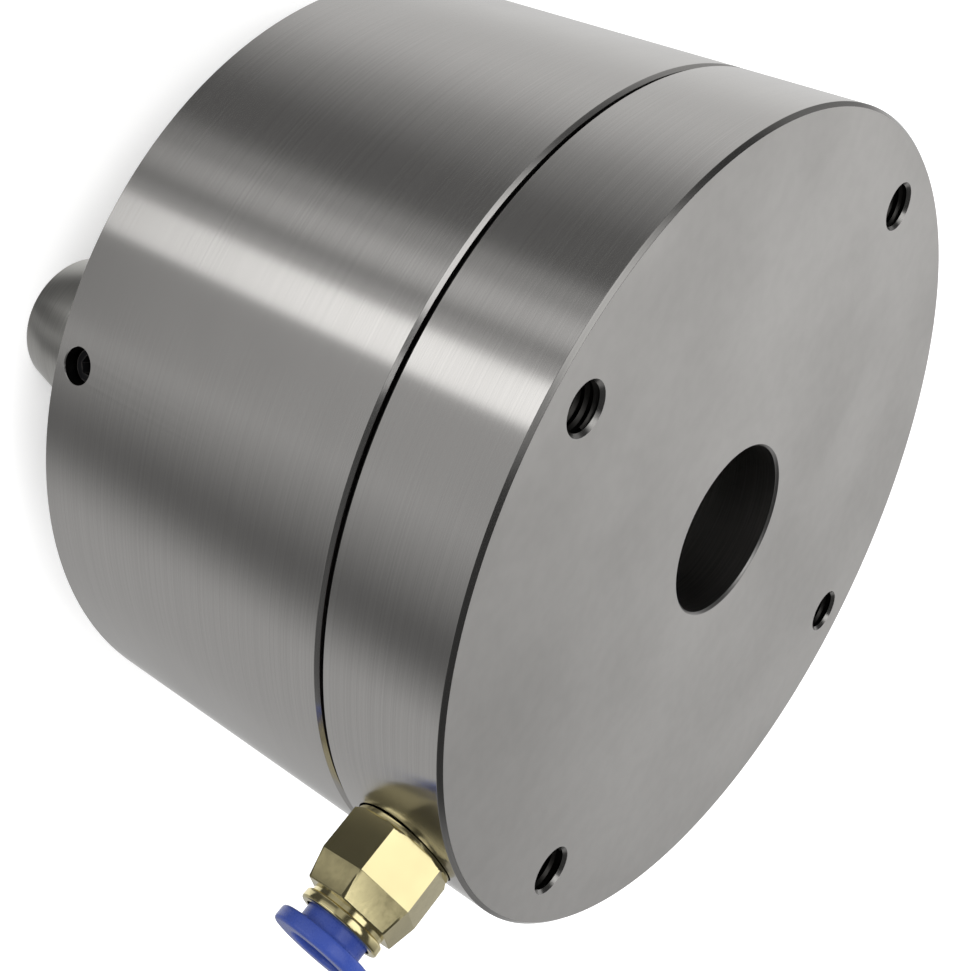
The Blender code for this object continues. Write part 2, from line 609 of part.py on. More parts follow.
def build_pillars():
    """The hardened support pillars, each locked by a black screw in the side wall."""
    r, lead_r = PILLAR_DIAMETER / 2, PILLAR_DIAMETER / 2 - PILLAR_LEAD_DEPTH
    shank_r = PILLAR_SHANK_DIAMETER / 2
    shoulder = FACE_Z - SEAT_GAP
    end = FLOOR_Z - PILLAR_SHANK_FLOOR
    screw_r, screw_z = SIDE_SCREW_DIAMETER / 2, FACE_Z + SIDE_SCREW_HEIGHT
    pillar_outline = [
        (0.0, 0.0),
        (lead_r, 0.0),
        (r, PILLAR_LEAD_LENGTH),
        (r, shoulder),
        (shank_r, shoulder),
        (shank_r, screw_z - screw_r),
        (shank_r - PILLAR_NOTCH_DEPTH, screw_z),
        (shank_r, screw_z + screw_r),
        (shank_r, end),
        (0.0, end),
    ]
    outer = OUTER_R - SIDE_SCREW_SINK
    inner = PILLAR_CIRCLE_R + shank_r + SEAT_GAP
    key_r, key_x = SIDE_SCREW_KEY_RADIUS, outer - SIDE_SCREW_KEY_DEPTH
    screw_outline = [
        (0.0, inner),
        (screw_r - SCREW_EDGE, inner),
        (screw_r, inner + SCREW_EDGE),
        (screw_r, outer - SCREW_EDGE),
        (screw_r - SCREW_EDGE, outer),
        (key_r, outer),
        (key_r, key_x),
        (0.0, key_x),
    ]
    pillar = mesh_of("support_pillar", turned(pillar_outline, SIDES_SMALL))
    screw = mesh_of("side_screw", turned(screw_outline, SIDES_HOLE))
    for k, angle in enumerate(quarters(PILLAR_ANGLE)):
        place(f"support_pillar_{k + 1}", pillar, STEEL_HARD, around(angle, PILLAR_CIRCLE_R))
        place(f"side_screw_{k + 1}", screw, SCREW_BLACK, around(angle) @ along_x(z=screw_z))


def prism_width():
    """Width of a centring prism at its root, from the screw head that it has to hide."""
    return PRISM_SCREW_HEAD_DIAMETER + 2 * (SEAT_GAP + PRISM_RIM + PRISM_FLANK)


def prism_mesh():
    """A prism whose flanks and ends are bevelled at its tip."""
    tip_z, root_z = FACE_Z - PRISM_HEIGHT, FACE_Z - SEAT_GAP
    top_z = FACE_Z + PRISM_SEAT_DEPTH - SEAT_GAP
    half = prism_width() / 2
    tip_half = half - PRISM_FLANK
    outline = [(-tip_half, tip_z), (tip_half, tip_z), (half, root_z), (half, top_z),
               (-half, top_z), (-half, root_z)]
    shape = bmesh.new()
    face = shape.faces.new([shape.verts.new((-PRISM_LENGTH / 2, y, z)) for y, z in outline])
    grown = bmesh.ops.extrude_face_region(shape, geom=[face])
    moved = [v for v in grown["geom"] if isinstance(v, bmesh.types.BMVert)]
    bmesh.ops.translate(shape, verts=moved, vec=(PRISM_LENGTH, 0.0, 0.0))
    middle_z = (tip_z + root_z) / 2
    at_tip = [e for e in shape.edges if min(v.co.z for v in e.verts) < middle_z]
    bmesh.ops.bevel(shape, geom=at_tip, offset=PRISM_BEVEL, segments=1, affect="EDGES")
    return mesh_of("centring_prism", shape)


def build_prisms():
    """The centring prisms, keyed into the chuck face and held by cap screws."""
    tip_z, end_z = FACE_Z - PRISM_HEIGHT, FACE_Z + PRISM_SEAT_DEPTH
    seat = tip_z + PRISM_SCREW_SINK + PRISM_SCREW_HEAD_HEIGHT
    hole = counterbore(PRISM_SCREW_HEAD_DIAMETER / 2 + SEAT_GAP,
                       PRISM_SCREW_DIAMETER / 2 + SEAT_GAP, tip_z - RIM_CHAMFER,
                       seat + SEAT_GAP, end_z + RIM_CHAMFER)
    profile = cap_screw_profile(PRISM_SCREW_DIAMETER, FLOOR_Z - PRISM_SCREW_FLOOR - seat,
                                PRISM_SCREW_HEAD_DIAMETER, PRISM_SCREW_HEAD_HEIGHT)
    prism = prism_mesh()
    screw = mesh_of("prism_screw", turned(profile, SIDES_HOLE))
    for k, angle in enumerate(quarters(PRISM_ANGLE)):
        spot = around(angle, PRISM_CIRCLE_R)
        piece = place(f"centring_prism_{k + 1}", prism, STEEL_HARD, spot)
        cut(piece, cutter(f"prism_hole_{k + 1}", [turned(hole, SIDES_HOLE, spot)]))
        place(f"prism_screw_{k + 1}", screw, SCREW_BLACK, around(angle, PRISM_CIRCLE_R, seat))


def hexagon_radius(width, angle):
    """Distance from the centre to the side of the fitting's hexagon, at an angle in degrees."""
    from_flat = (angle - FITTING_HEX_CORNER) % 60.0 - 30.0
    return width / 2 / cos(radians(from_flat))


def loft(stations, sides):
    """Bmesh of a closed tube: stations of (x, radius by angle) run round its wall."""
    shape = bmesh.new()
    angles = [FITTING_HEX_CORNER + 360.0 * k / sides for k in range(sides)]
    rings = [[shape.verts.new((x, radius(angle) * cos(radians(angle)),
                               -radius(angle) * sin(radians(angle)))) for angle in angles]
             for x, radius in stations]
    for low, high in zip(rings, rings[1:] + rings[:1]):
        bridge(shape, low, high)
    bmesh.ops.remove_doubles(shape, verts=shape.verts, dist=MERGE_DISTANCE)
    return shape


def build_fitting():
    """The push-in air fitting: body, gasket, tube seal, grip ring and release collar."""
    seat_x = OUTER_R - PORT_SPOT_DEPTH
    thread_x = seat_x - PORT_THREAD_LENGTH
    hex_x = OUTER_R
    hex_end = hex_x + FITTING_HEX_LENGTH
    taper_end = hex_end + FITTING_TAPER_LENGTH
    neck_end = taper_end + FITTING_NECK_LENGTH
    ring_end = neck_end + FITTING_RING_LENGTH
    socket_x = hex_x + FITTING_SOCKET_WALL
    thread_r = PORT_THREAD_DIAMETER / 2
    passage_r = thread_r / 2
    tube_r = TUBE_DIAMETER / 2 + TUBE_GAP
    collar_r = tube_r + COLLAR_WALL
    cavity_r = collar_r + SEAT_GAP
    neck_r = cavity_r + FITTING_NECK_WALL
    ring_r = neck_r + FITTING_RING_STEP
    washer_r = FITTING_WASHER_DIAMETER / 2
    washer_end = hex_x + FITTING_WASHER_THICKNESS

    def circle(radius):
        return lambda angle: radius

    def hexagon(width):
        return lambda angle: hexagon_radius(width, angle)

    body = loft([
        (thread_x, circle(passage_r)),
        (thread_x, circle(thread_r - THREAD_GAP)),
        (thread_x + THREAD_GAP, circle(thread_r)),
        (hex_x, circle(thread_r)),
        (hex_x, circle(washer_r)),
        (washer_end, circle(washer_r)),
        (washer_end + FITTING_BACK_CHAMFER, hexagon(FITTING_HEX_WIDTH)),
        (hex_end, hexagon(FITTING_HEX_WIDTH)),
        (taper_end, hexagon(2 * (neck_r + FITTING_TAPER_STEP))),
        (taper_end, circle(neck_r)),
        (neck_end, circle(neck_r)),
        (neck_end, circle(ring_r)),
        (ring_end, circle(ring_r)),
        (ring_end, circle(cavity_r)),
        (socket_x, circle(cavity_r)),
        (socket_x, circle(passage_r)),
    ], SIDES_FITTING)
    place("fitting_body", mesh_of("fitting_body", body), BRASS, Matrix.Translation((0, 0, PORT_Z)))

    gasket = turned(seal_profile(thread_r + SEAT_GAP, PORT_SPOT_DEPTH - SEAT_GAP), SIDES_SMALL)
    place("fitting_gasket", mesh_of("fitting_gasket", gasket), RUBBER,
          along_x((seat_x + hex_x) / 2, PORT_Z))

    half_seal = TUBE_SEAL_THICKNESS / 2
    tube_seal_x = socket_x + SEAT_GAP / 2 + half_seal
    tube_seal = seal_profile(cavity_r - SEAT_GAP / 2 - TUBE_SEAL_THICKNESS, TUBE_SEAL_THICKNESS)
    place("tube_seal", mesh_of("tube_seal", turned(tube_seal, SIDES_SMALL)), RUBBER,
          along_x(tube_seal_x, PORT_Z))

    grip_x = tube_seal_x + half_seal + SEAT_GAP
    grip_end = grip_x + GRIP_LENGTH
    grip_r = TUBE_DIAMETER / 2 + THREAD_GAP
    grip = [(grip_r, grip_x), (cavity_r - SEAT_GAP, grip_x + GRIP_LENGTH / 3),
            (cavity_r - SEAT_GAP, grip_end), (grip_r, grip_x + GRIP_LENGTH / 2)]
    place("grip_ring", mesh_of("grip_ring", turned(grip, SIDES_SMALL)), STEEL_SPRING,
          along_x(z=PORT_Z))

    inner_x = grip_end + COLLAR_TRAVEL + SEAT_GAP
    flange_x = ring_end + COLLAR_TRAVEL + COLLAR_REST_GAP
    flange_r = collar_r + COLLAR_FLANGE_WIDTH
    end_x = flange_x + COLLAR_FLANGE_THICKNESS
    collar = [
        (tube_r, inner_x),
        (collar_r, inner_x),
        (collar_r, flange_x),
        (flange_r - COLLAR_EDGE, flange_x),
        (flange_r, flange_x + COLLAR_EDGE),
        (flange_r, end_x - COLLAR_EDGE),
        (flange_r - COLLAR_EDGE, end_x),
        (tube_r + COLLAR_EDGE, end_x),
        (tube_r, end_x - COLLAR_EDGE),
    ]
    place("release_collar", mesh_of("release_collar", turned(collar, SIDES_SMALL)),
          PLASTIC_BLUE, along_x(z=PORT_Z))


def main():
    """Build every piece of the chuck."""
    clear_scene()
    build_housing()
    build_base_disc()
    build_ball_cage()
    build_balls()
    build_piston()
    build_springs()
    build_base_screws()
    build_pillars()
    build_prisms()
    build_fitting()


main()
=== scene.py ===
"""Looks of a pneumatic ball-lock chuck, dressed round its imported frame.

Everything is in metres, with +Z up along the chuck axis. The chuck stands on its four
support pillars, its base face is up, and the air fitting points along +X. The housing, the
disc, the ball lock and the fitting are made finer than the frame's solids, in the same
places, and each gets the finish that such a piece has.
"""

import logging
from dataclasses import dataclass, field
from enum import Enum, IntEnum
from math import cos, hypot, pi, radians, sin, sqrt, tan
from typing import Callable, Sequence

import bmesh
import bpy
from mathutils import Matrix, Vector


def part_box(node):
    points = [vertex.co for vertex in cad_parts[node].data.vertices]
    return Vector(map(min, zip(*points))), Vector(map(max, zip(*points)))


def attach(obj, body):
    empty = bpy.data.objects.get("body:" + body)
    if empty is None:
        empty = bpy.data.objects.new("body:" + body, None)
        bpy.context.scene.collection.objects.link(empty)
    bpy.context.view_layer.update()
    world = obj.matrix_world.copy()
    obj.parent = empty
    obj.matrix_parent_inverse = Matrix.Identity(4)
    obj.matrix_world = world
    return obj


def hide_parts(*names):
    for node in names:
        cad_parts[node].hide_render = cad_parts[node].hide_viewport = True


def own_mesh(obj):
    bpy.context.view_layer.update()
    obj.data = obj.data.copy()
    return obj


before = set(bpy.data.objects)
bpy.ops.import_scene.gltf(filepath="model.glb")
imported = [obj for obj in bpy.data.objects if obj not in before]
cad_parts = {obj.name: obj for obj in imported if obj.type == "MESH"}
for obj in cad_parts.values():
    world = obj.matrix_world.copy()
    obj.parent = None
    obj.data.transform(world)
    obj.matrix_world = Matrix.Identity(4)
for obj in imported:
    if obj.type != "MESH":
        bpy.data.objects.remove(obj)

LOG = logging.getLogger("chuck")
MM = 0.001
SHARP_ANGLE = 32.0
WELD_DISTANCE = 1e-6
MERGE_DISTANCE = 1e-7
CORNER_SHARE = 0.4
LEAST_REACH = 1e-6
NEARLY_STRAIGHT = 80.0
LOCAL_PLACE = "local_place"
FLOAT = "NodeSocketFloat"
VECTOR = "NodeSocketVector"
COLOUR_A, COLOUR_B, COLOUR_RESULT = 6, 7, 2
FLOAT_A, FLOAT_B = 2, 3

PILLAR_ANGLE = 45.0
SCREW_ANGLE = 67.5
MOUNT_ANGLE = 22.5
SPRING_ANGLE = 22.5

WIDE_HOLE_SIDES = 64
HOLE_SIDES = 48
SMALL_HOLE_SIDES = 32
SLEEVE_SIDES = 160
SEAL_SIDES = 128
SEAL_SECTION_SIDES = 16
CHAMFER_STEPS = 8
QUARTER_STEPS = 4

Shape = bmesh.types.BMesh
Piece = bpy.types.Object
Node = bpy.types.Node
Socket = bpy.types.NodeSocket
Point = tuple[float, float]
Outline = list[Point]


class Slot(Enum):
    """The record's material slots."""

    GROUND_STEEL = "ground_steel"
    HARD_STEEL = "hardened_steel"
    BALL_STEEL = "ball_steel"
    SPRING_STEEL = "spring_steel"
    BLACK_SCREW = "black_screw"
    BRASS = "brass"
    BLUE_PLASTIC = "blue_plastic"
    RUBBER = "black_rubber"


class Body(Enum):
    """The bodies that pieces ride on; the lock balls have one each."""

    CHUCK = "chuck"
    PISTON = "piston"
    COLLAR = "collar"


class Place(Enum):
    """Where a material reads the pattern's coordinates."""

    OBJECT = "object"
    LOCAL = "local"


class Zone(IntEnum):
    """Number of a steel piece's material on one kind of face."""

    WALL = 0
    FACE = 1
    INSIDE = 2
    CHAMFER = 3
    # Faces in holes, pockets and the joint groove, whose material is painted shade.
    PAINTED_SHADE_RECESS = 4


# Node trees


class NodeSheet:
    """A node tree with short calls to add and link nodes."""

    def __init__(self, tree: bpy.types.NodeTree) -> None:
        """Keep the tree to fill."""
        self.tree = tree

    def add(self, kind: str, **settings: object) -> Node:
        """Add one node.

        Args:
            kind: the node's type name.
            settings: properties set on the node.

        Returns:
            The new node.
        """
        node = self.tree.nodes.new(kind)
        for name, value in settings.items():
            setattr(node, name, value)
        return node

    def feed(self, node: Node, **sources: object) -> Node:
        """Link or set a node's inputs by name, with _ for a space.

        Args:
            node: the node whose inputs are fed.
            sources: an output socket or a plain value for each input.

        Returns:
            The same node.
        """
        for name, source in sources.items():
            self.put(source, node.inputs[name.replace("_", " ")])
        return node

    def put(self, source: object, target: Socket) -> None:
        """Link a socket to another, or set its value.

        Args:
            source: an output socket, or a value.
            target: the input socket.
        """
        if isinstance(source, Socket):
            self.tree.links.new(source, target)
        else:
            target.default_value = source

    def group(self, tree: bpy.types.NodeTree, **sources: object) -> Node:
        """Place a node group and feed its inputs by name."""
        return self.feed(self.add("ShaderNodeGroup", node_tree=tree), **sources)

    def mixed(self, share: object, one: object, other: object) -> Socket:
        """Add a mix of two colours.

        Args:
            share: how much of the other colour shows, from 0 to 1.
            one: the first colour.
            other: the other colour.

        Returns:
            The mixed colour.
        """
        node = self.add("ShaderNodeMix", data_type="RGBA")
        for value, place in ((share, "Factor"), (one, COLOUR_A), (other, COLOUR_B)):
            self.put(value, node.inputs[place])
        return node.outputs[COLOUR_RESULT]

    def times(self, one: object, other: object) -> Socket:
        """Product of two values."""
        return self.math("MULTIPLY", one, other)

    def plus(self, one: object, other: object) -> Socket:
        """Sum of two values."""
        return self.math("ADD", one, other)

    def minus(self, one: object, other: object) -> Socket:
        """Difference of two values."""
        return self.math("SUBTRACT", one, other)

    def math(self, operation: str, *values: object, clamped: bool = False) -> Socket:
        """Add a Math node.

        Args:
            operation: its operation.
            values: its inputs, in order.
            clamped: whether the result is held between 0 and 1.

        Returns:
            The result socket.
        """
        node = self.add("ShaderNodeMath", operation=operation, use_clamp=clamped)
        for socket, value in zip(node.inputs, values):
            self.put(value, socket)
        return node.outputs[0]

    def vector(self, operation: str, *values: object) -> Node:
        """Add a Vector Math node.

        Args:
            operation: its operation.
            values: its inputs, in order.

        Returns:
            The node.
        """
        node = self.add("ShaderNodeVectorMath", operation=operation)
        for socket, value in zip(node.inputs, values):
            self.put(value, socket)
        return node

    def noise(self, place: object, scale: float, detail: float = 2.0) -> Socket:
        """Add a noise pattern.

        Args:
            place: the coordinates it is read at.
            scale: how fine it is.
            detail: how many finer layers it has.

        Returns:
            Its value, about 0.5 on average.
        """
        node = self.add("ShaderNodeTexNoise")
        self.feed(node, Vector=place, Scale=scale, Detail=detail)
        return node.outputs["Fac"]

    def spread(self, value: object, low: float, high: float, new_low: object,
               new_high: object) -> Socket:
        """Map a range of values to another, with the ends held.

        Args:
            value: what is mapped.
            low: the value that becomes new_low.
            high: the value that becomes new_high.
            new_low: the first end of the new range.
            new_high: the second end of the new range.

        Returns:
            The mapped value.
        """
        node = self.add("ShaderNodeMapRange", interpolation_type="SMOOTHSTEP")
        self.feed(node, Value=value, From_Min=low, From_Max=high, To_Min=new_low, To_Max=new_high)
        return node.outputs["Result"]


def new_group(name: str, inputs: dict[str, tuple[str, object]],
              outputs: dict[str, str]) -> tuple[NodeSheet, Node, Node]:
    """Start a shader node group.

    Args:
        name: the group's name.
        inputs: each input's socket type and first value.
        outputs: each output's socket type.

    Returns:
        The sheet to fill, the group's input node and its output node.
    """
    tree = bpy.data.node_groups.new(name, "ShaderNodeTree")
    for title, (kind, value) in inputs.items():
        socket = tree.interface.new_socket(title, in_out="INPUT", socket_type=kind)
        if value is not None:
            socket.default_value = value
    for title, kind in outputs.items():
        tree.interface.new_socket(title, in_out="OUTPUT", socket_type=kind)
    sheet = NodeSheet(tree)
    return sheet, sheet.add("NodeGroupInput"), sheet.add("NodeGroupOutput")


class Effects:
    """Shader node groups that more than one finish uses, each built once."""

    def __init__(self) -> None:
        """Build the groups."""
        self.turning = self.build_turning()
        self.grain = self.build_grain()
        self.edges = self.build_edges()

    @staticmethod
    def build_turning() -> bpy.types.NodeTree:
        """Rings left by turning and grinding about the local Z axis.

        Returns:
            The group: fine rings, broad rings and slow patches, each about 0.5 on average.
        """
        sheet, given, result = new_group(
            "turning_rings",
            {"Vector": (VECTOR, None), "Fineness": (FLOAT, 9000.0)},
            {"Rings": FLOAT, "Broad": FLOAT, "Patches": FLOAT})
        parts = sheet.add("ShaderNodeSeparateXYZ")
        sheet.put(given.outputs["Vector"], parts.inputs[0])
        x, y, z = parts.outputs
        radius = sheet.math("SQRT", sheet.plus(sheet.times(x, x), sheet.times(y, y)))
        rings = sheet.add("ShaderNodeCombineXYZ")
        fine = given.outputs["Fineness"]
        sheet.feed(rings, X=sheet.times(radius, fine), Y=sheet.math("ARCTAN2", y, x),
                   Z=sheet.times(z, fine))
        broad = sheet.vector("MULTIPLY", rings.outputs[0], (0.06, 0.6, 0.06))
        sheet.put(sheet.noise(rings.outputs[0], 1.0, 3.0), result.inputs["Rings"])
        sheet.put(sheet.noise(broad.outputs[0], 1.0, 2.0), result.inputs["Broad"])
        sheet.put(sheet.noise(given.outputs["Vector"], 60.0, 2.0), result.inputs["Patches"])
        return sheet.tree

    @staticmethod
    def build_grain() -> bpy.types.NodeTree:
        """Fine grain and slow mottling, the same in all directions.

        Returns:
            The group: grain and mottling, each about 0.5 on average.
        """
        sheet, given, result = new_group(
            "surface_grain",
            {"Vector": (VECTOR, None), "Fineness": (FLOAT, 3000.0)},
            {"Grain": FLOAT, "Mottle": FLOAT})
        scaled = sheet.vector("SCALE", given.outputs["Vector"])
        sheet.put(given.outputs["Fineness"], scaled.inputs["Scale"])
        coarse = sheet.vector("MULTIPLY", scaled.outputs[0], (0.08, 0.08, 0.08))
        sheet.put(sheet.noise(scaled.outputs[0], 1.0, 3.0), result.inputs["Grain"])
        sheet.put(sheet.noise(coarse.outputs[0], 1.0, 2.0), result.inputs["Mottle"])
        return sheet.tree

    @staticmethod
    def build_edges() -> bpy.types.NodeTree:
        """Mask of edges that handling has rubbed bright.

        Returns:
            The group: 1 on a worn edge and 0 elsewhere.
        """
        sheet, given, result = new_group(
            "rubbed_edges",
            {"Vector": (VECTOR, None), "Width": (FLOAT, 0.0004), "Amount": (FLOAT, 1.0)},
            {"Mask": FLOAT})
        bevel = sheet.add("ShaderNodeBevel", samples=4)
        sheet.put(given.outputs["Width"], bevel.inputs["Radius"])
        plain = sheet.add("ShaderNodeNewGeometry")
        facing = sheet.vector("DOT_PRODUCT", bevel.outputs[0], plain.outputs["Normal"])
        turned_away = sheet.minus(1.0, facing.outputs["Value"])
        edge = sheet.spread(turned_away, 0.02, 0.16, 0.0, 1.0)
        broken = sheet.spread(sheet.noise(given.outputs["Vector"], 900.0, 3.0), 0.35, 0.6, 0.4, 1.0)
        rubbed = sheet.times(sheet.times(edge, broken), given.outputs["Amount"])
        sheet.put(rubbed, result.inputs["Mask"])
        return sheet.tree


# Finishes


@dataclass(frozen=True)
class Finish:
    """What every finish has: a name, a slot, a colour and a roughness."""

    name: str
    slot: Slot
    colour: tuple[float, float, float]
    roughness: float
    place: Place = Place.OBJECT
    pattern_range: tuple[float, float] = (0.3, 0.7)

    def start(self) -> tuple[bpy.types.Material, NodeSheet, Node, Socket]:
        """Make the material with its shader and its pattern's coordinates.

        Returns:
            The material, its sheet, its Principled shader and the coordinates.
        """
        made = bpy.data.materials.new(self.name)
        made.use_nodes = True
        sheet = NodeSheet(made.node_tree)
        shader = made.node_tree.nodes["Principled BSDF"]
        shader.inputs["Base Color"].default_value = (*self.colour, 1.0)
        shader.inputs["Roughness"].default_value = self.roughness
        if self.place is Place.OBJECT:
            spot = sheet.add("ShaderNodeTexCoord").outputs["Object"]
        else:
            spot = sheet.add("ShaderNodeAttribute", attribute_name=LOCAL_PLACE).outputs["Vector"]
        made.diffuse_color = (*self.colour, 1.0)
        return made, sheet, shader, spot

    def tint(self, sheet: NodeSheet, shader: Node, value: Socket,
             low: float, high: float) -> None:
        """Vary the base colour's lightness with a value of about 0.5 on average.

        Args:
            sheet: the material's sheet.
            shader: its shader.
            value: the pattern.
            low: lightness where the pattern is low, as a share of the colour.
            high: lightness where the pattern is high.
        """
        dark = (*(low * part for part in self.colour), 1.0)
        light = (*(min(1.0, high * part) for part in self.colour), 1.0)
        share = sheet.spread(value, *self.pattern_range, 0.0, 1.0)
        sheet.put(sheet.mixed(share, dark, light), shader.inputs["Base Color"])

    def roughen(self, sheet: NodeSheet, shader: Node, value: Socket,
                low: float, high: float) -> None:
        """Vary the roughness by a pattern, from a low to a high share of it."""
        ends = (low * self.roughness, high * self.roughness)
        sheet.put(sheet.spread(value, *self.pattern_range, *ends), shader.inputs["Roughness"])

    @staticmethod
    def emboss(sheet: NodeSheet, shader: Node, height: Socket, depth: float) -> None:
        """Give the surface a fine relief.

        Args:
            sheet: the material's sheet.
            shader: its shader.
            height: the pattern.
            depth: how deep it is, in metres.
        """
        bump = sheet.add("ShaderNodeBump")
        sheet.feed(bump, Height=height, Distance=depth, Strength=1.0)
        sheet.put(bump.outputs[0], shader.inputs["Normal"])


@dataclass(frozen=True)
class GroundSteel(Finish):
    """Steel turned or ground about an axis, with reflections drawn out across the rings."""

    anisotropy: float = 0.0
    fineness: float = 9000.0
    ring_depth: float = 2e-6
    contrast: float = 0.12
    grain: float = 0.0
    patches: float = 0.08
    across: float = 0.25

    def build(self, effects: Effects) -> bpy.types.Material:
        """Make the material.

        Args:
            effects: the shared node groups.

        Returns:
            The material.
        """
        made, sheet, shader, spot = self.start()
        shader.inputs["Metallic"].default_value = 1.0
        rings = sheet.group(effects.turning, Vector=spot, Fineness=self.fineness)
        tone, relief = rings.outputs["Rings"], rings.outputs["Broad"]
        if self.grain > 0.0:
            grain = sheet.group(effects.grain, Vector=spot, Fineness=self.fineness)
            tone = self.blend(sheet, tone, grain.outputs["Mottle"])
            relief = self.blend(sheet, relief, grain.outputs["Grain"])
        self.tint(sheet, shader, tone, 1 - self.contrast, 1 + self.contrast)
        self.roughen(sheet, shader, rings.outputs["Patches"], 1 - self.patches, 1 + self.patches)
        self.emboss(sheet, shader, relief, self.ring_depth)
        if self.anisotropy > 0.0:
            shader.inputs["Anisotropic"].default_value = self.anisotropy
            shader.inputs["Anisotropic Rotation"].default_value = self.across
            tangent = sheet.add("ShaderNodeTangent", direction_type="RADIAL", axis="Z")
            sheet.put(tangent.outputs[0], shader.inputs["Tangent"])
        return made

    def blend(self, sheet: NodeSheet, rings: Socket, grain: Socket) -> Socket:
        """Mix a pattern of rings with an even grain, by the finish's share of grain.

        Args:
            sheet: the material's sheet.
            rings: the pattern of rings.
            grain: the even grain.

        Returns:
            The mixed pattern.
        """
        mix = sheet.add("ShaderNodeMix", data_type="FLOAT")
        mix.inputs[0].default_value = self.grain
        sheet.put(rings, mix.inputs[FLOAT_A])
        sheet.put(grain, mix.inputs[FLOAT_B])
        return mix.outputs[0]


@dataclass(frozen=True)
class Grained(Finish):
    """A finish with a fine grain, the same in all directions."""

    fineness: float = 3000.0
    grain_depth: float = 1e-6
    tone: tuple[float, float] = (0.9, 1.08)
    sheen: tuple[float, float] = (0.85, 1.15)

    def add_grain(self, effects: Effects, sheet: NodeSheet, shader: Node,
                  spot: Socket) -> None:
        """Vary the colour, the roughness and the relief with the shared grain.

        Args:
            effects: the shared node groups.
            sheet: the material's sheet.
            shader: its shader.
            spot: the pattern's coordinates.
        """
        grain = sheet.group(effects.grain, Vector=spot, Fineness=self.fineness)
        self.tint(sheet, shader, grain.outputs["Mottle"], *self.tone)
        self.roughen(sheet, shader, grain.outputs["Grain"], *self.sheen)
        self.emboss(sheet, shader, grain.outputs["Grain"], self.grain_depth)


@dataclass(frozen=True)
class GrainedMetal(Grained):
    """Metal with no direction in it: polished, drawn, or blackened with rubbed edges."""

    metallic: float = 1.0
    edge_colour: tuple[float, float, float] | None = None
    edge_width: float = 0.25 * MM
    edge_wear: float = 0.7

    def build(self, effects: Effects) -> bpy.types.Material:
        """Make the material.

        Args:
            effects: the shared node groups.

        Returns:
            The material.
        """
        made, sheet, shader, spot = self.start()
        shader.inputs["Metallic"].default_value = self.metallic
        self.add_grain(effects, sheet, shader, spot)
        if self.edge_colour is not None:
            edges = sheet.group(effects.edges, Vector=spot, Width=self.edge_width,
                                Amount=self.edge_wear)
            plain = shader.inputs["Base Color"].links[0].from_socket
            worn = sheet.mixed(edges.outputs["Mask"], plain, (*self.edge_colour, 1.0))
            sheet.put(worn, shader.inputs["Base Color"])
        return made


@dataclass(frozen=True)
class Moulded(Grained):
    """Moulded plastic or rubber."""

    fineness: float = 2500.0
    grain_depth: float = 4e-6
    tone: tuple[float, float] = (0.92, 1.1)
    specular: float = 0.5

    def build(self, effects: Effects) -> bpy.types.Material:
        """Make the material.

        Args:
            effects: the shared node groups.

        Returns:
            The material.
        """
        made, sheet, shader, spot = self.start()
        shader.inputs["Specular IOR Level"].default_value = self.specular
        self.add_grain(effects, sheet, shader, spot)
        return made


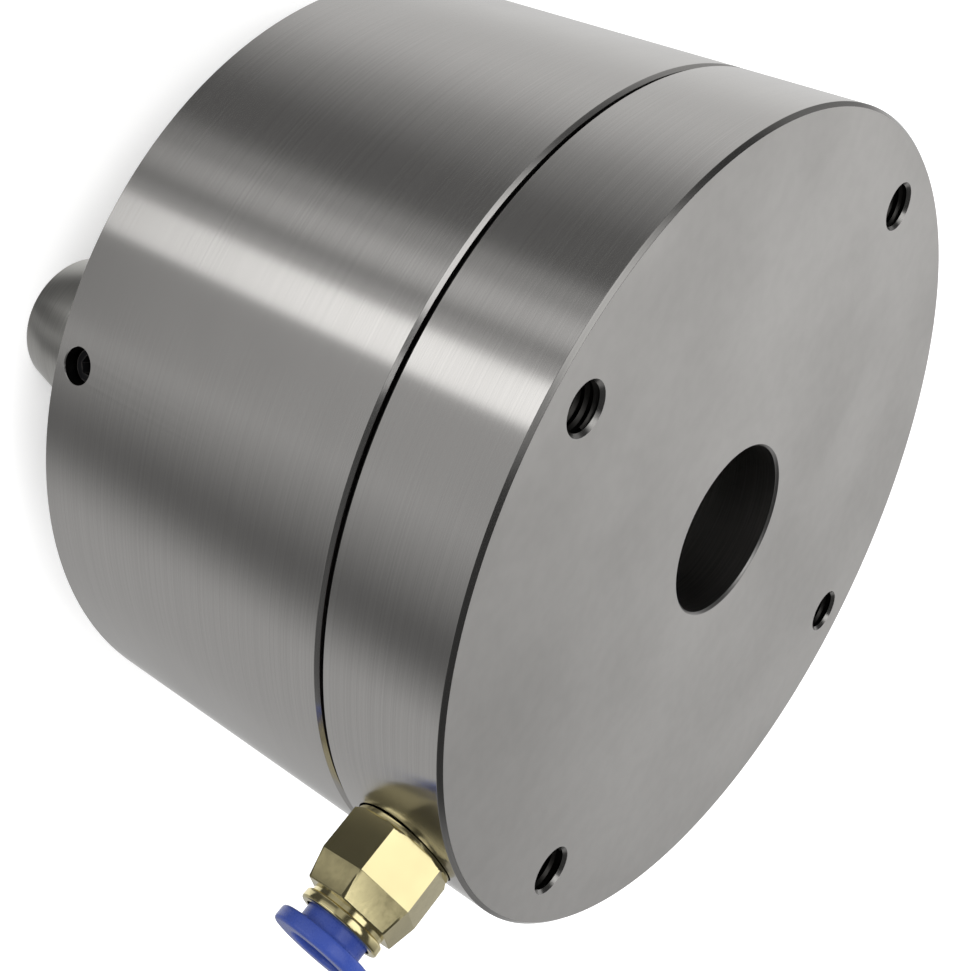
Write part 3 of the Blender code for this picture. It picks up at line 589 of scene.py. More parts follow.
class Finishes:
    """The chuck's finishes, each made into a material once."""

    WALL = GroundSteel("ground_wall", Slot.GROUND_STEEL, (0.66, 0.645, 0.625), 0.20,
                       anisotropy=0.93, fineness=12000.0, ring_depth=7e-7, contrast=0.05)
    FACE = GroundSteel("ground_face", Slot.GROUND_STEEL, (0.65, 0.635, 0.615), 0.42,
                       anisotropy=0.3, fineness=6000.0, ring_depth=1.5e-6, contrast=0.02,
                       grain=0.8)
    INSIDE = GroundSteel("turned_inside", Slot.GROUND_STEEL, (0.42, 0.41, 0.40), 0.34,
                         fineness=5000.0, ring_depth=3e-6, contrast=0.12)
    CHAMFER = GroundSteel("turned_chamfer", Slot.GROUND_STEEL, (0.36, 0.352, 0.34), 0.20,
                          fineness=5000.0, ring_depth=1e-6, contrast=0.06)
    # Painted shade: near-black steel for holes, pockets, thread ridges and the joint groove, where
    # shade falls.
    PAINTED_SHADE_RECESS = GroundSteel("recess_painted_shade", Slot.GROUND_STEEL, (0.075, 0.072, 0.068), 0.40,
                         fineness=5000.0, ring_depth=2e-6, contrast=0.12)
    HARD = GroundSteel("hardened_ground", Slot.HARD_STEEL, (0.50, 0.50, 0.49), 0.24,
                       fineness=8000.0, ring_depth=1.5e-6, contrast=0.08)
    PAD = GroundSteel("hardened_pad", Slot.HARD_STEEL, (0.60, 0.59, 0.56), 0.30,
                      place=Place.LOCAL, fineness=8000.0, ring_depth=1.5e-6, contrast=0.08)
    PRISM = GrainedMetal("hardened_prism", Slot.HARD_STEEL, (0.50, 0.50, 0.49), 0.26,
                         place=Place.LOCAL, fineness=2400.0)
    BALL = GrainedMetal("polished_ball", Slot.BALL_STEEL, (0.62, 0.62, 0.63), 0.07,
                        fineness=900.0, grain_depth=1e-7)
    WIRE = GrainedMetal("spring_wire", Slot.SPRING_STEEL, (0.30, 0.30, 0.31), 0.34)
    BLACK = GrainedMetal("black_oxide", Slot.BLACK_SCREW, (0.022, 0.022, 0.024), 0.42,
                         place=Place.LOCAL, metallic=0.6, grain_depth=3e-6,
                         edge_colour=(0.20, 0.19, 0.18))
    BRASS = GrainedMetal("bright_brass", Slot.BRASS, (0.86, 0.76, 0.42), 0.12,
                         fineness=1400.0, grain_depth=1.2e-6)
    BLUE = Moulded("blue_plastic", Slot.BLUE_PLASTIC, (0.04, 0.076, 0.34), 0.28,
                   grain_depth=2e-6)
    RUBBER = Moulded("seal_rubber", Slot.RUBBER, (0.018, 0.018, 0.018), 0.55, specular=0.35)
    BY_ZONE = {Zone.WALL: WALL, Zone.FACE: FACE, Zone.INSIDE: INSIDE, Zone.CHAMFER: CHAMFER,
               Zone.PAINTED_SHADE_RECESS: PAINTED_SHADE_RECESS}

    def __init__(self) -> None:
        """Start with no material made."""
        self.effects = Effects()
        self.made: dict[str, bpy.types.Material] = {}

    def material(self, finish: Finish) -> bpy.types.Material:
        """Return a finish's material, made at its first use.

        Args:
            finish: the finish.

        Returns:
            The material.
        """
        if finish.name not in self.made:
            self.made[finish.name] = finish.build(self.effects)
        return self.made[finish.name]


# Shapes


def rounded(outline: Outline, radius: float, closed: bool, steps: int = 2) -> Outline:
    """Round the corners of an outline with short arcs.

    Args:
        outline: the corner points, as radius and height.
        radius: the arcs' radius, made smaller where a side is short.
        closed: whether the last point joins the first.
        steps: how many sides an arc has.

    Returns:
        The rounded outline.
    """
    result: Outline = []
    count = len(outline)
    for k, (x, z) in enumerate(outline):
        if not closed and k in (0, count - 1):
            result.append((x, z))
            continue
        before, after = outline[k - 1], outline[(k + 1) % count]
        to_before = Vector((before[0] - x, before[1] - z))
        to_after = Vector((after[0] - x, after[1] - z))
        half_turn = to_before.angle(to_after) / 2
        shorter = min(to_before.length, to_after.length)
        reach = min(radius / tan(half_turn), CORNER_SHARE * shorter)
        if half_turn > radians(NEARLY_STRAIGHT) or reach < LEAST_REACH:
            result.append((x, z))
            continue
        corner = Vector((x, z))
        start = corner + to_before.normalized() * reach
        end = corner + to_after.normalized() * reach
        for step in range(steps + 1):
            share = step / steps
            point = start.lerp(corner, share).lerp(corner.lerp(end, share), share)
            result.append((point.x, point.y))
    return result


def lathe(outline: Outline, sides: int, closed: bool = True,
          matrix: Matrix | None = None) -> Shape:
    """Turn an outline about Z into a closed body.

    Args:
        outline: points as radius and height; an open one starts and ends on the axis.
        sides: how many sides the round has.
        closed: whether the last point joins the first.
        matrix: where the body goes.

    Returns:
        The body.
    """
    shape = bmesh.new()
    turns = [(cos(2 * pi * k / sides), sin(2 * pi * k / sides)) for k in range(sides)]
    rings = [[shape.verts.new((r * c, r * s, z)) for c, s in turns] if r > 0.0
             else [shape.verts.new((0.0, 0.0, z))] for r, z in outline]
    followers = rings[1:] + rings[:1] if closed else rings[1:]
    for low, high in zip(rings, followers):
        for k in range(sides):
            after = (k + 1) % sides
            loop = [low[k % len(low)], low[after % len(low)],
                    high[after % len(high)], high[k % len(high)]]
            corners = list(dict.fromkeys(loop))
            if len(corners) > 2:
                shape.faces.new(corners)
    bmesh.ops.recalc_face_normals(shape, faces=shape.faces)
    if matrix is not None:
        bmesh.ops.transform(shape, matrix=matrix, verts=shape.verts)
    return shape


def drill(radius: float, low: float, high: float, lead: float = 0.0,
          countersunk_low: bool = False) -> Outline:
    """Outline of a drilled hole, opened out by a chamfer where it breaks the surface.

    Args:
        radius: the hole's radius.
        low: its lower end.
        high: its upper end.
        lead: the chamfer's width at the open end, which lies 1 mm inside the outline's end.
        countersunk_low: whether the open end is the lower one.

    Returns:
        The open outline.
    """
    if lead == 0.0:
        return [(0.0, low), (radius, low), (radius, high), (0.0, high)]
    wide = radius + lead + MM
    if countersunk_low:
        return [(0.0, low), (wide, low), (radius, low + MM + lead), (radius, high), (0.0, high)]
    return [(0.0, low), (radius, low), (radius, high - MM - lead), (wide, high), (0.0, high)]


def prism_body(corners: Sequence[Point], low: float, high: float,
               matrix: Matrix | None = None) -> Shape:
    """Make a straight body between two heights.

    Args:
        corners: the points of its section, as x and y.
        low: its lower height.
        high: its upper height.
        matrix: where the body goes.

    Returns:
        The body.
    """
    shape = bmesh.new()
    bottom = [shape.verts.new((x, y, low)) for x, y in corners]
    top = [shape.verts.new((x, y, high)) for x, y in corners]
    for k in range(len(corners)):
        after = (k + 1) % len(corners)
        shape.faces.new((bottom[k], bottom[after], top[after], top[k]))
    shape.faces.new(bottom)
    shape.faces.new(top)
    bmesh.ops.recalc_face_normals(shape, faces=shape.faces)
    if matrix is not None:
        bmesh.ops.transform(shape, matrix=matrix, verts=shape.verts)
    return shape


def hexagon(width: float) -> list[Point]:
    """Corners of a hexagon of a width across flats."""
    corner = width / sqrt(3)
    return [(corner * cos(radians(60 * k)), corner * sin(radians(60 * k))) for k in range(6)]


def around(angle: float, radius: float = 0.0) -> Matrix:
    """Place that turns a body about the chuck axis and moves it outwards."""
    return Matrix.Rotation(radians(angle), 4, "Z") @ Matrix.Translation((radius, 0.0, 0.0))


def ring(count: int, first: float = 0.0, radius: float = 0.0) -> list[Matrix]:
    """Places spread evenly about the chuck axis, from a first angle."""
    return [around(first + 360.0 * k / count, radius) for k in range(count)]


def along_x(z: float) -> Matrix:
    """Place whose local Z runs along +X at a height, and whose local X points down."""
    return Matrix.Translation((0.0, 0.0, z)) @ Matrix.Rotation(pi / 2, 4, "Y")


def bored(outline: Outline, sides: int, places: Sequence[Matrix]) -> list[Shape]:
    """One turned body at each of several places."""
    return [lathe(outline, sides, False, place) for place in places]


def moved(shape: Shape, shift: Sequence[float]) -> Shape:
    """Shift a body and return it."""
    bmesh.ops.translate(shape, verts=shape.verts, vec=shift)
    return shape


def link_mesh(name: str, shape: Shape) -> Piece:
    """Make an object of a body.

    Args:
        name: the object's name.
        shape: the body, which is used up.

    Returns:
        The object, at the origin.
    """
    mesh = bpy.data.meshes.new(name)
    shape.to_mesh(mesh)
    shape.free()
    made = bpy.data.objects.new(name, mesh)
    bpy.context.scene.collection.objects.link(made)
    return made


def gathered(shapes: Sequence[Shape]) -> Shape:
    """Put several bodies in one.

    Args:
        shapes: the bodies, which are used up.

    Returns:
        One body that holds them all.
    """
    mesh = bpy.data.meshes.new("gathering")
    joined = bmesh.new()
    for shape in shapes:
        shape.to_mesh(mesh)
        shape.free()
        joined.from_mesh(mesh)
    bpy.data.meshes.remove(mesh)
    return joined


def made_plain(piece: Piece) -> Piece:
    """Replace an object's mesh by what its modifiers make of it, and remove them.

    Args:
        piece: the object.

    Returns:
        The same object, with a plain mesh.
    """
    seen = piece.evaluated_get(bpy.context.evaluated_depsgraph_get())
    mesh = bpy.data.meshes.new_from_object(seen)
    old = piece.data
    piece.modifiers.clear()
    piece.data = mesh
    mesh.name = piece.name
    bpy.data.meshes.remove(old)
    return piece


def taken(piece: Piece) -> Shape:
    """Take an object's mesh as a body, and remove the object.

    Args:
        piece: the object, which is used up.

    Returns:
        The body.
    """
    shape = bmesh.new()
    mesh = piece.data
    shape.from_mesh(mesh)
    bpy.data.objects.remove(piece)
    bpy.data.meshes.remove(mesh)
    return shape


def carve(piece: Piece, *cutters: Shape) -> Piece:
    """Cut bodies out of a piece, one after the other, and weld the slivers this leaves.

    Args:
        piece: the object to cut.
        cutters: the bodies that are cut away, which are used up.

    Returns:
        The same object, with a plain mesh.
    """
    tools = [link_mesh(f"{piece.name}_cutter", shape) for shape in cutters]
    for tool in tools:
        step = piece.modifiers.new("cut", "BOOLEAN")
        step.operation = "DIFFERENCE"
        step.solver = "EXACT"
        step.object = tool
    made_plain(piece)
    for tool in tools:
        taken(tool).free()
    shape = bmesh.new()
    shape.from_mesh(piece.data)
    bmesh.ops.dissolve_degenerate(shape, dist=WELD_DISTANCE, edges=shape.edges)
    shape.to_mesh(piece.data)
    shape.free()
    return piece


def shaded(piece: Piece) -> Piece:
    """Shade a piece smoothly between its sharp edges, with the large faces kept flat.

    Args:
        piece: the object.

    Returns:
        The same object, with a plain mesh.
    """
    piece.data.shade_smooth()
    piece.data.set_sharp_from_angle(angle=radians(SHARP_ANGLE))
    weighted = piece.modifiers.new("weighted", "WEIGHTED_NORMAL")
    weighted.keep_sharp = True
    return made_plain(piece)


# Geometry node trees


class PatternTree:
    """Geometry nodes that repeat a piece about the Z axis."""

    def __init__(self) -> None:
        """Build the tree: geometry, count, first angle and finish in, plain mesh out."""
        tree = bpy.data.node_groups.new("repeat_about_axis", "GeometryNodeTree")
        face = tree.interface
        face.new_socket("Geometry", in_out="INPUT", socket_type="NodeSocketGeometry")
        self.count = face.new_socket("Count", in_out="INPUT", socket_type="NodeSocketInt")
        self.first = face.new_socket("First Angle", in_out="INPUT", socket_type=FLOAT)
        self.centre = face.new_socket("Centre", in_out="INPUT", socket_type=VECTOR)
        self.finish = face.new_socket("Finish", in_out="INPUT", socket_type="NodeSocketMaterial")
        face.new_socket("Geometry", in_out="OUTPUT", socket_type="NodeSocketGeometry")
        sheet = NodeSheet(tree)
        given, result = sheet.add("NodeGroupInput"), sheet.add("NodeGroupOutput")
        local = sheet.vector("SUBTRACT", sheet.add("GeometryNodeInputPosition").outputs[0],
                             given.outputs["Centre"])
        store = sheet.add("GeometryNodeStoreNamedAttribute", data_type="FLOAT_VECTOR")
        sheet.feed(store, Geometry=given.outputs["Geometry"], Name=LOCAL_PLACE,
                   Value=local.outputs[0])
        spots = sheet.add("GeometryNodeMeshLine")
        sheet.feed(spots, Count=given.outputs["Count"], Offset=(0.0, 0.0, 0.0))
        index = sheet.add("GeometryNodeInputIndex").outputs[0]
        share = sheet.math("DIVIDE", index, given.outputs["Count"])
        first = sheet.math("RADIANS", given.outputs["First Angle"])
        turn = sheet.plus(sheet.times(share, 2 * pi), first)
        spin = sheet.add("ShaderNodeCombineXYZ")
        sheet.feed(spin, Z=turn)
        copies = sheet.add("GeometryNodeInstanceOnPoints")
        sheet.feed(copies, Points=spots.outputs[0], Instance=store.outputs[0],
                   Rotation=spin.outputs[0])
        real = sheet.add("GeometryNodeRealizeInstances")
        sheet.put(copies.outputs[0], real.inputs[0])
        dress = sheet.add("GeometryNodeSetMaterial")
        sheet.feed(dress, Geometry=real.outputs[0], Material=given.outputs["Finish"])
        sheet.put(dress.outputs[0], result.inputs["Geometry"])
        self.tree = tree

    def apply(self, piece: Piece, count: int, first: float, centre: Vector,
              material: bpy.types.Material) -> Piece:
        """Repeat a piece about the axis and make the result plain.

        Args:
            piece: the piece, placed at angle 0.
            count: how many copies there are.
            first: angle of the first copy, in degrees.
            centre: the piece's own centre, which its pattern is read from.
            material: what the copies are made of.

        Returns:
            The same object, with a plain mesh.
        """
        modifier = piece.modifiers.new("repeat", "NODES")
        modifier.node_group = self.tree
        modifier[self.count.identifier] = count
        modifier[self.first.identifier] = first
        modifier[self.centre.identifier] = list(centre)
        modifier[self.finish.identifier] = material
        return made_plain(piece)


class CoilTree:
    """Geometry nodes that sweep a section along a helix: springs and threads."""

    INPUTS = {"Radius": FLOAT, "Height": FLOAT, "Turns": FLOAT, "Steps": "NodeSocketInt",
              "Wire Radius": FLOAT, "Sides": "NodeSocketInt"}

    def __init__(self) -> None:
        """Build the tree: the helix's sizes in, a closed mesh about Z out."""
        tree = bpy.data.node_groups.new("coil", "GeometryNodeTree")
        face = tree.interface
        face.new_socket("Geometry", in_out="INPUT", socket_type="NodeSocketGeometry")
        self.sockets = {name: face.new_socket(name, in_out="INPUT", socket_type=kind)
                        for name, kind in self.INPUTS.items()}
        self.finish = face.new_socket("Finish", in_out="INPUT", socket_type="NodeSocketMaterial")
        face.new_socket("Geometry", in_out="OUTPUT", socket_type="NodeSocketGeometry")
        sheet = NodeSheet(tree)
        given, result = sheet.add("NodeGroupInput"), sheet.add("NodeGroupOutput")
        helix = sheet.add("GeometryNodeCurveSpiral")
        sheet.feed(helix, Resolution=given.outputs["Steps"], Rotations=given.outputs["Turns"],
                   Height=given.outputs["Height"])
        sheet.put(given.outputs["Radius"], helix.inputs["Start Radius"])
        sheet.put(given.outputs["Radius"], helix.inputs["End Radius"])
        normals = sheet.add("GeometryNodeSetCurveNormal", mode="Z_UP")
        sheet.put(helix.outputs[0], normals.inputs["Curve"])
        section = sheet.add("GeometryNodeCurvePrimitiveCircle")
        sheet.feed(section, Resolution=given.outputs["Sides"], Radius=given.outputs["Wire Radius"])
        sweep = sheet.add("GeometryNodeCurveToMesh")
        sheet.feed(sweep, Curve=normals.outputs[0])
        sheet.put(section.outputs[0], sweep.inputs["Profile Curve"])
        sweep.inputs["Fill Caps"].default_value = True
        real = sheet.add("GeometryNodeRealizeInstances")
        sheet.put(sweep.outputs[0], real.inputs[0])
        dress = sheet.add("GeometryNodeSetMaterial")
        sheet.feed(dress, Geometry=real.outputs[0], Material=given.outputs["Finish"])
        sheet.put(dress.outputs[0], result.inputs["Geometry"])
        self.tree = tree

    def body(self, radius: float, low: float, high: float, turns: float, wire_radius: float,
             material: bpy.types.Material, sides: int = 12, steps_per_turn: int = 40) -> Shape:
        """Make one helix about Z.

        Args:
            radius: radius of the helix's own line.
            low: height at which that line starts.
            high: height at which it ends.
            turns: how many turns it makes.
            wire_radius: radius of its section.
            material: what it is made of.
            sides: how many sides the section has.
            steps_per_turn: how many steps a turn has.

        Returns:
            The helix as a body.
        """
        piece = link_mesh("coil", bmesh.new())
        modifier = piece.modifiers.new("coil", "NODES")
        modifier.node_group = self.tree
        values = {"Radius": radius, "Height": high - low, "Turns": turns,
                  "Steps": steps_per_turn, "Wire Radius": wire_radius, "Sides": sides}
        for name, value in values.items():
            modifier[self.sockets[name].identifier] = value
        modifier[self.finish.identifier] = material
        shape = moved(taken(made_plain(piece)), (0.0, 0.0, low))
        bmesh.ops.recalc_face_normals(shape, faces=shape.faces)
        return shape


class Workshop:
    """What every sub-assembly is built with: finishes and node trees."""

    def __init__(self) -> None:
        """Build the trees and the finishes."""
        self.finishes = Finishes()
        self.pattern = PatternTree()
        self.coil = CoilTree()

    def dress(self, piece: Piece, finish: Finish, *nodes: str,
              body: str = Body.CHUCK.value) -> Piece:
        """Give a finished piece its material, its body and the nodes that it stands for.

        Args:
            piece: the piece.
            finish: its finish.
            nodes: the frame's nodes that it replaces.
            body: the body that it rides on.

        Returns:
            The same piece.
        """
        if not piece.data.materials:
            piece.data.materials.append(self.finishes.material(finish))
        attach(piece, body)
        if nodes:
            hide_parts(*nodes)
        LOG.info("%s rides on %s with %d faces", piece.name, body, len(piece.data.polygons))
        return piece

    def repeat(self, name: str, shape: Shape, count: int, first: float,
               centre: Vector, finish: Finish, *nodes: str) -> Piece:
        """Repeat a body about the chuck axis as one piece of the chuck.

        Args:
            name: the piece's name.
            shape: the body at angle 0, which is used up.
            count: how many copies there are.
            first: angle of the first copy, in degrees.
            centre: the body's own centre.
            finish: its finish.
            nodes: the frame's nodes that it replaces.

        Returns:
            The piece.
        """
        piece = shaded(link_mesh(name, shape))
        self.pattern.apply(piece, count, first, centre, self.finishes.material(finish))
        return self.dress(piece, finish, *nodes)

    def paint(self, piece: Piece, choose: Callable[[Vector, Vector], Zone]) -> None:
        """Give each face of a steel piece the material of its zone.

        Args:
            piece: the piece.
            choose: returns the zone for a face's centre and normal.
        """
        piece.data.materials.clear()
        for zone in Zone:
            piece.data.materials.append(self.finishes.material(Finishes.BY_ZONE[zone]))
        for face in piece.data.polygons:
            face.material_index = choose(face.center, face.normal)

    def seal(self, name: str, node: str, inner_r: float, thickness: float, z: float,
             body: str = Body.CHUCK.value, matrix: Matrix | None = None) -> None:
        """Add a round seal in place of a node.

        Args:
            name: the piece's name.
            node: the node that it replaces.
            inner_r: radius of its groove's floor.
            thickness: thickness of its section.
            z: its height, or its place along matrix's Z.
            body: the body that it rides on.
            matrix: where it goes.
        """
        half = thickness / 2
        steps = [2 * pi * k / SEAL_SECTION_SIDES for k in range(SEAL_SECTION_SIDES)]
        section = [(inner_r + half + half * cos(step), z + half * sin(step)) for step in steps]
        piece = shaded(link_mesh(name, lathe(section, SEAL_SIDES, True, matrix)))
        self.dress(piece, Finishes.RUBBER, node, body=body)


# The chuck's sizes


@dataclass
class Sizes:
    """The sizes that several pieces share, and the heights taken from the frame."""

    seat_gap: float = 0.3 * MM
    thread_gap: float = 0.2 * MM
    bore_r: float = 10.4 * MM
    ball_r: float = 4.5 * MM
    ball_reach: float = 2.4 * MM
    ball_back: float = 1.0 * MM
    flange_width: float = 6.0 * MM
    spring_r: float = 4.0 * MM
    spring_pocket_gap: float = 0.6 * MM
    spring_web: float = 2.4 * MM
    housing_wall: float = 14.0 * MM
    front_wall: float = 12.0 * MM
    rim_chamfer: float = 0.45 * MM
    joint_chamfer: float = 0.4 * MM
    disc_joint_chamfer: float = 0.6 * MM
    edge_round: float = 0.08 * MM
    upright: float = 0.9
    sloped: float = 0.4
    outward: float = 0.3
    round_sides: int = 256
    face_z: float = field(init=False)
    floor_z: float = field(init=False)
    housing_top_z: float = field(init=False)
    joint_z: float = field(init=False)
    spigot_z: float = field(init=False)
    base_z: float = field(init=False)
    outer_r: float = field(init=False)
    cylinder_r: float = field(init=False)
    piston_r: float = field(init=False)
    cage_r: float = field(init=False)
    cage_hole_r: float = field(init=False)
    ball_centre_r: float = field(init=False)
    spring_circle_r: float = field(init=False)
    spring_pocket_r: float = field(init=False)

    def __post_init__(self) -> None:
        """Read the heights from the frame and work out the radii."""
        housing_low, housing_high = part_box("housing")
        disc_low, disc_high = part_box("base_disc")
        self.face_z = housing_low.z
        self.floor_z = self.face_z + self.front_wall
        self.housing_top_z = housing_high.z
        self.joint_z = self.housing_top_z + self.seat_gap
        self.spigot_z = disc_low.z
        self.base_z = disc_high.z
        self.outer_r = disc_high.y
        self.cylinder_r = self.outer_r - self.housing_wall
        self.piston_r = self.cylinder_r - self.seat_gap
        self.ball_centre_r = self.bore_r - self.ball_reach + self.ball_r
        self.cage_r = self.ball_centre_r + self.ball_r - self.ball_back
        self.cage_hole_r = self.cage_r + self.seat_gap
        self.spring_pocket_r = self.spring_r + self.spring_pocket_gap
        self.spring_circle_r = (self.cage_r + self.flange_width + self.spring_web
                                + self.spring_pocket_r)

    def fine(self, outline: Outline) -> Outline:
        """Round a closed outline's corners as machining leaves them."""
        return rounded(outline, self.edge_round, True)

    def spring_places(self) -> list[Matrix]:
        """Places of the clamping springs and their pockets."""
        return ring(8, SPRING_ANGLE, self.spring_circle_r)

    def airway_x(self) -> float:
        """Place of the airway's axis, between the cage and the cylinder."""
        return (self.cage_r + self.piston_r) / 2


def centre_of(node: str) -> Vector:
    """Middle of a frame node's box."""
    low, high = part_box(node)
    return (low + high) / 2


def numbered(name: str, count: int) -> list[str]:
    """Names of a repeated node, from 1."""
    return [f"{name}_{k + 1}" for k in range(count)]


# Sub-assemblies


@dataclass
class Housing:
    """The cup-shaped housing, with the holes of its chuck face and its wall."""

    shop: Workshop
    sizes: Sizes
    shank_r: float = 5.3 * MM
    shank_end: float = 9.8 * MM
    screw_head_r: float = 4.55 * MM
    screw_r: float = 2.8 * MM
    screw_head_depth: float = 5.9 * MM
    pocket_depth: float = 6.0 * MM
    keyway_length: float = 14.6 * MM
    keyway_width: float = 12.6 * MM
    keyway_depth: float = 2.5 * MM
    prism_tap_r: float = 2.2 * MM
    prism_tap_end: float = 8.7 * MM
    side_tap_r: float = 2.1 * MM
    side_tap_height: float = 3.8 * MM
    side_tap_lead: float = 0.1 * MM
    lead: float = 0.3 * MM

    def build(self) -> None:
        """Build the housing."""
        s = self.sizes
        top = s.housing_top_z
        outline = [
            (s.cage_hole_r, s.face_z),
            (s.outer_r - s.rim_chamfer, s.face_z),
            (s.outer_r, s.face_z + s.rim_chamfer),
            (s.outer_r, top - s.joint_chamfer),
            (s.outer_r - s.joint_chamfer, top),
            (s.cylinder_r + s.joint_chamfer, top),
            (s.cylinder_r, top - s.joint_chamfer),
            (s.cylinder_r, s.floor_z),
            (s.cage_hole_r, s.floor_z),
        ]
        piece = link_mesh("housing_shell", lathe(s.fine(outline), s.round_sides))
        carve(piece, self.face_holes(), self.keyways(), self.taps())
        self.shop.paint(shaded(piece), self.choose)
        self.shop.dress(piece, Finishes.WALL, "housing")

    def choose(self, centre: Vector, normal: Vector) -> Zone:
        """Choose a face's zone: wall, chuck face, inside, chamfer, or recess with painted shade.

        Args:
            centre: the face's centre.
            normal: its normal.

        Returns:
            The zone.
        """
        s = self.sizes
        radius = hypot(centre.x, centre.y)
        if radius > s.outer_r - s.rim_chamfer and abs(normal.z) < s.upright:
            return Zone.CHAMFER if normal.z < -s.sloped else Zone.WALL
        if centre.z < s.face_z + s.edge_round:
            return Zone.FACE
        # Holes, pockets and seats in the body below the cylinder's floor: painted shade.
        if radius > s.piston_r and centre.z < s.floor_z:
            return Zone.PAINTED_SHADE_RECESS
        return Zone.INSIDE

    def face_holes(self) -> Shape:
        """Holes bored along the axis: pillar shanks, base screws and spring pockets.

        Returns:
            The bodies to cut away.
        """
        s = self.sizes
        below, above = s.face_z - MM, s.joint_z + MM
        pillar, screw = centre_of("support_pillar_1"), centre_of("base_screw_1")
        shank = drill(self.shank_r, below, s.face_z + self.shank_end, self.lead, True)
        seat = s.face_z + self.screw_head_depth
        wide = self.screw_head_r + self.lead + MM
        screw_hole = [(0.0, below), (wide, below), (self.screw_head_r, s.face_z + self.lead),
                      (self.screw_head_r, seat), (self.screw_r, seat), (self.screw_r, above),
                      (0.0, above)]
        pocket = drill(s.spring_pocket_r, s.floor_z - self.pocket_depth, s.floor_z + MM)
        shank_places = ring(4, PILLAR_ANGLE, hypot(pillar.x, pillar.y))
        screw_places = ring(4, SCREW_ANGLE, hypot(screw.x, screw.y))
        return gathered(bored(shank, WIDE_HOLE_SIDES, shank_places)
                        + bored(screw_hole, HOLE_SIDES, screw_places)
                        + bored(pocket, SMALL_HOLE_SIDES, s.spring_places()))

    def keyways(self) -> Shape:
        """Seats of the centring prisms.

        Returns:
            The bodies to cut away.
        """
        s = self.sizes
        half_length, half_width = self.keyway_length / 2, self.keyway_width / 2
        corners = [(-half_length, -half_width), (half_length, -half_width),
                   (half_length, half_width), (-half_length, half_width)]
        places = ring(4, radius=centre_of("centring_prism_1").x)
        return gathered([prism_body(corners, s.face_z - MM, s.face_z + self.keyway_depth, place)
                         for place in places])

    def taps(self) -> Shape:
        """Tapped holes under the prisms and in the wall.

        Returns:
            The bodies to cut away.
        """
        s = self.sizes
        prism, pillar = centre_of("centring_prism_1"), centre_of("support_pillar_1")
        low = s.face_z + self.keyway_depth / 2
        under = drill(self.prism_tap_r, low, s.face_z + self.prism_tap_end)
        side = drill(self.side_tap_r, hypot(pillar.x, pillar.y), s.outer_r + MM,
                     self.side_tap_lead)
        lying = along_x(s.face_z + self.side_tap_height)
        return gathered(bored(under, SMALL_HOLE_SIDES, ring(4, radius=prism.x))
                        + bored(side, HOLE_SIDES, [p @ lying for p in ring(4, PILLAR_ANGLE)]))


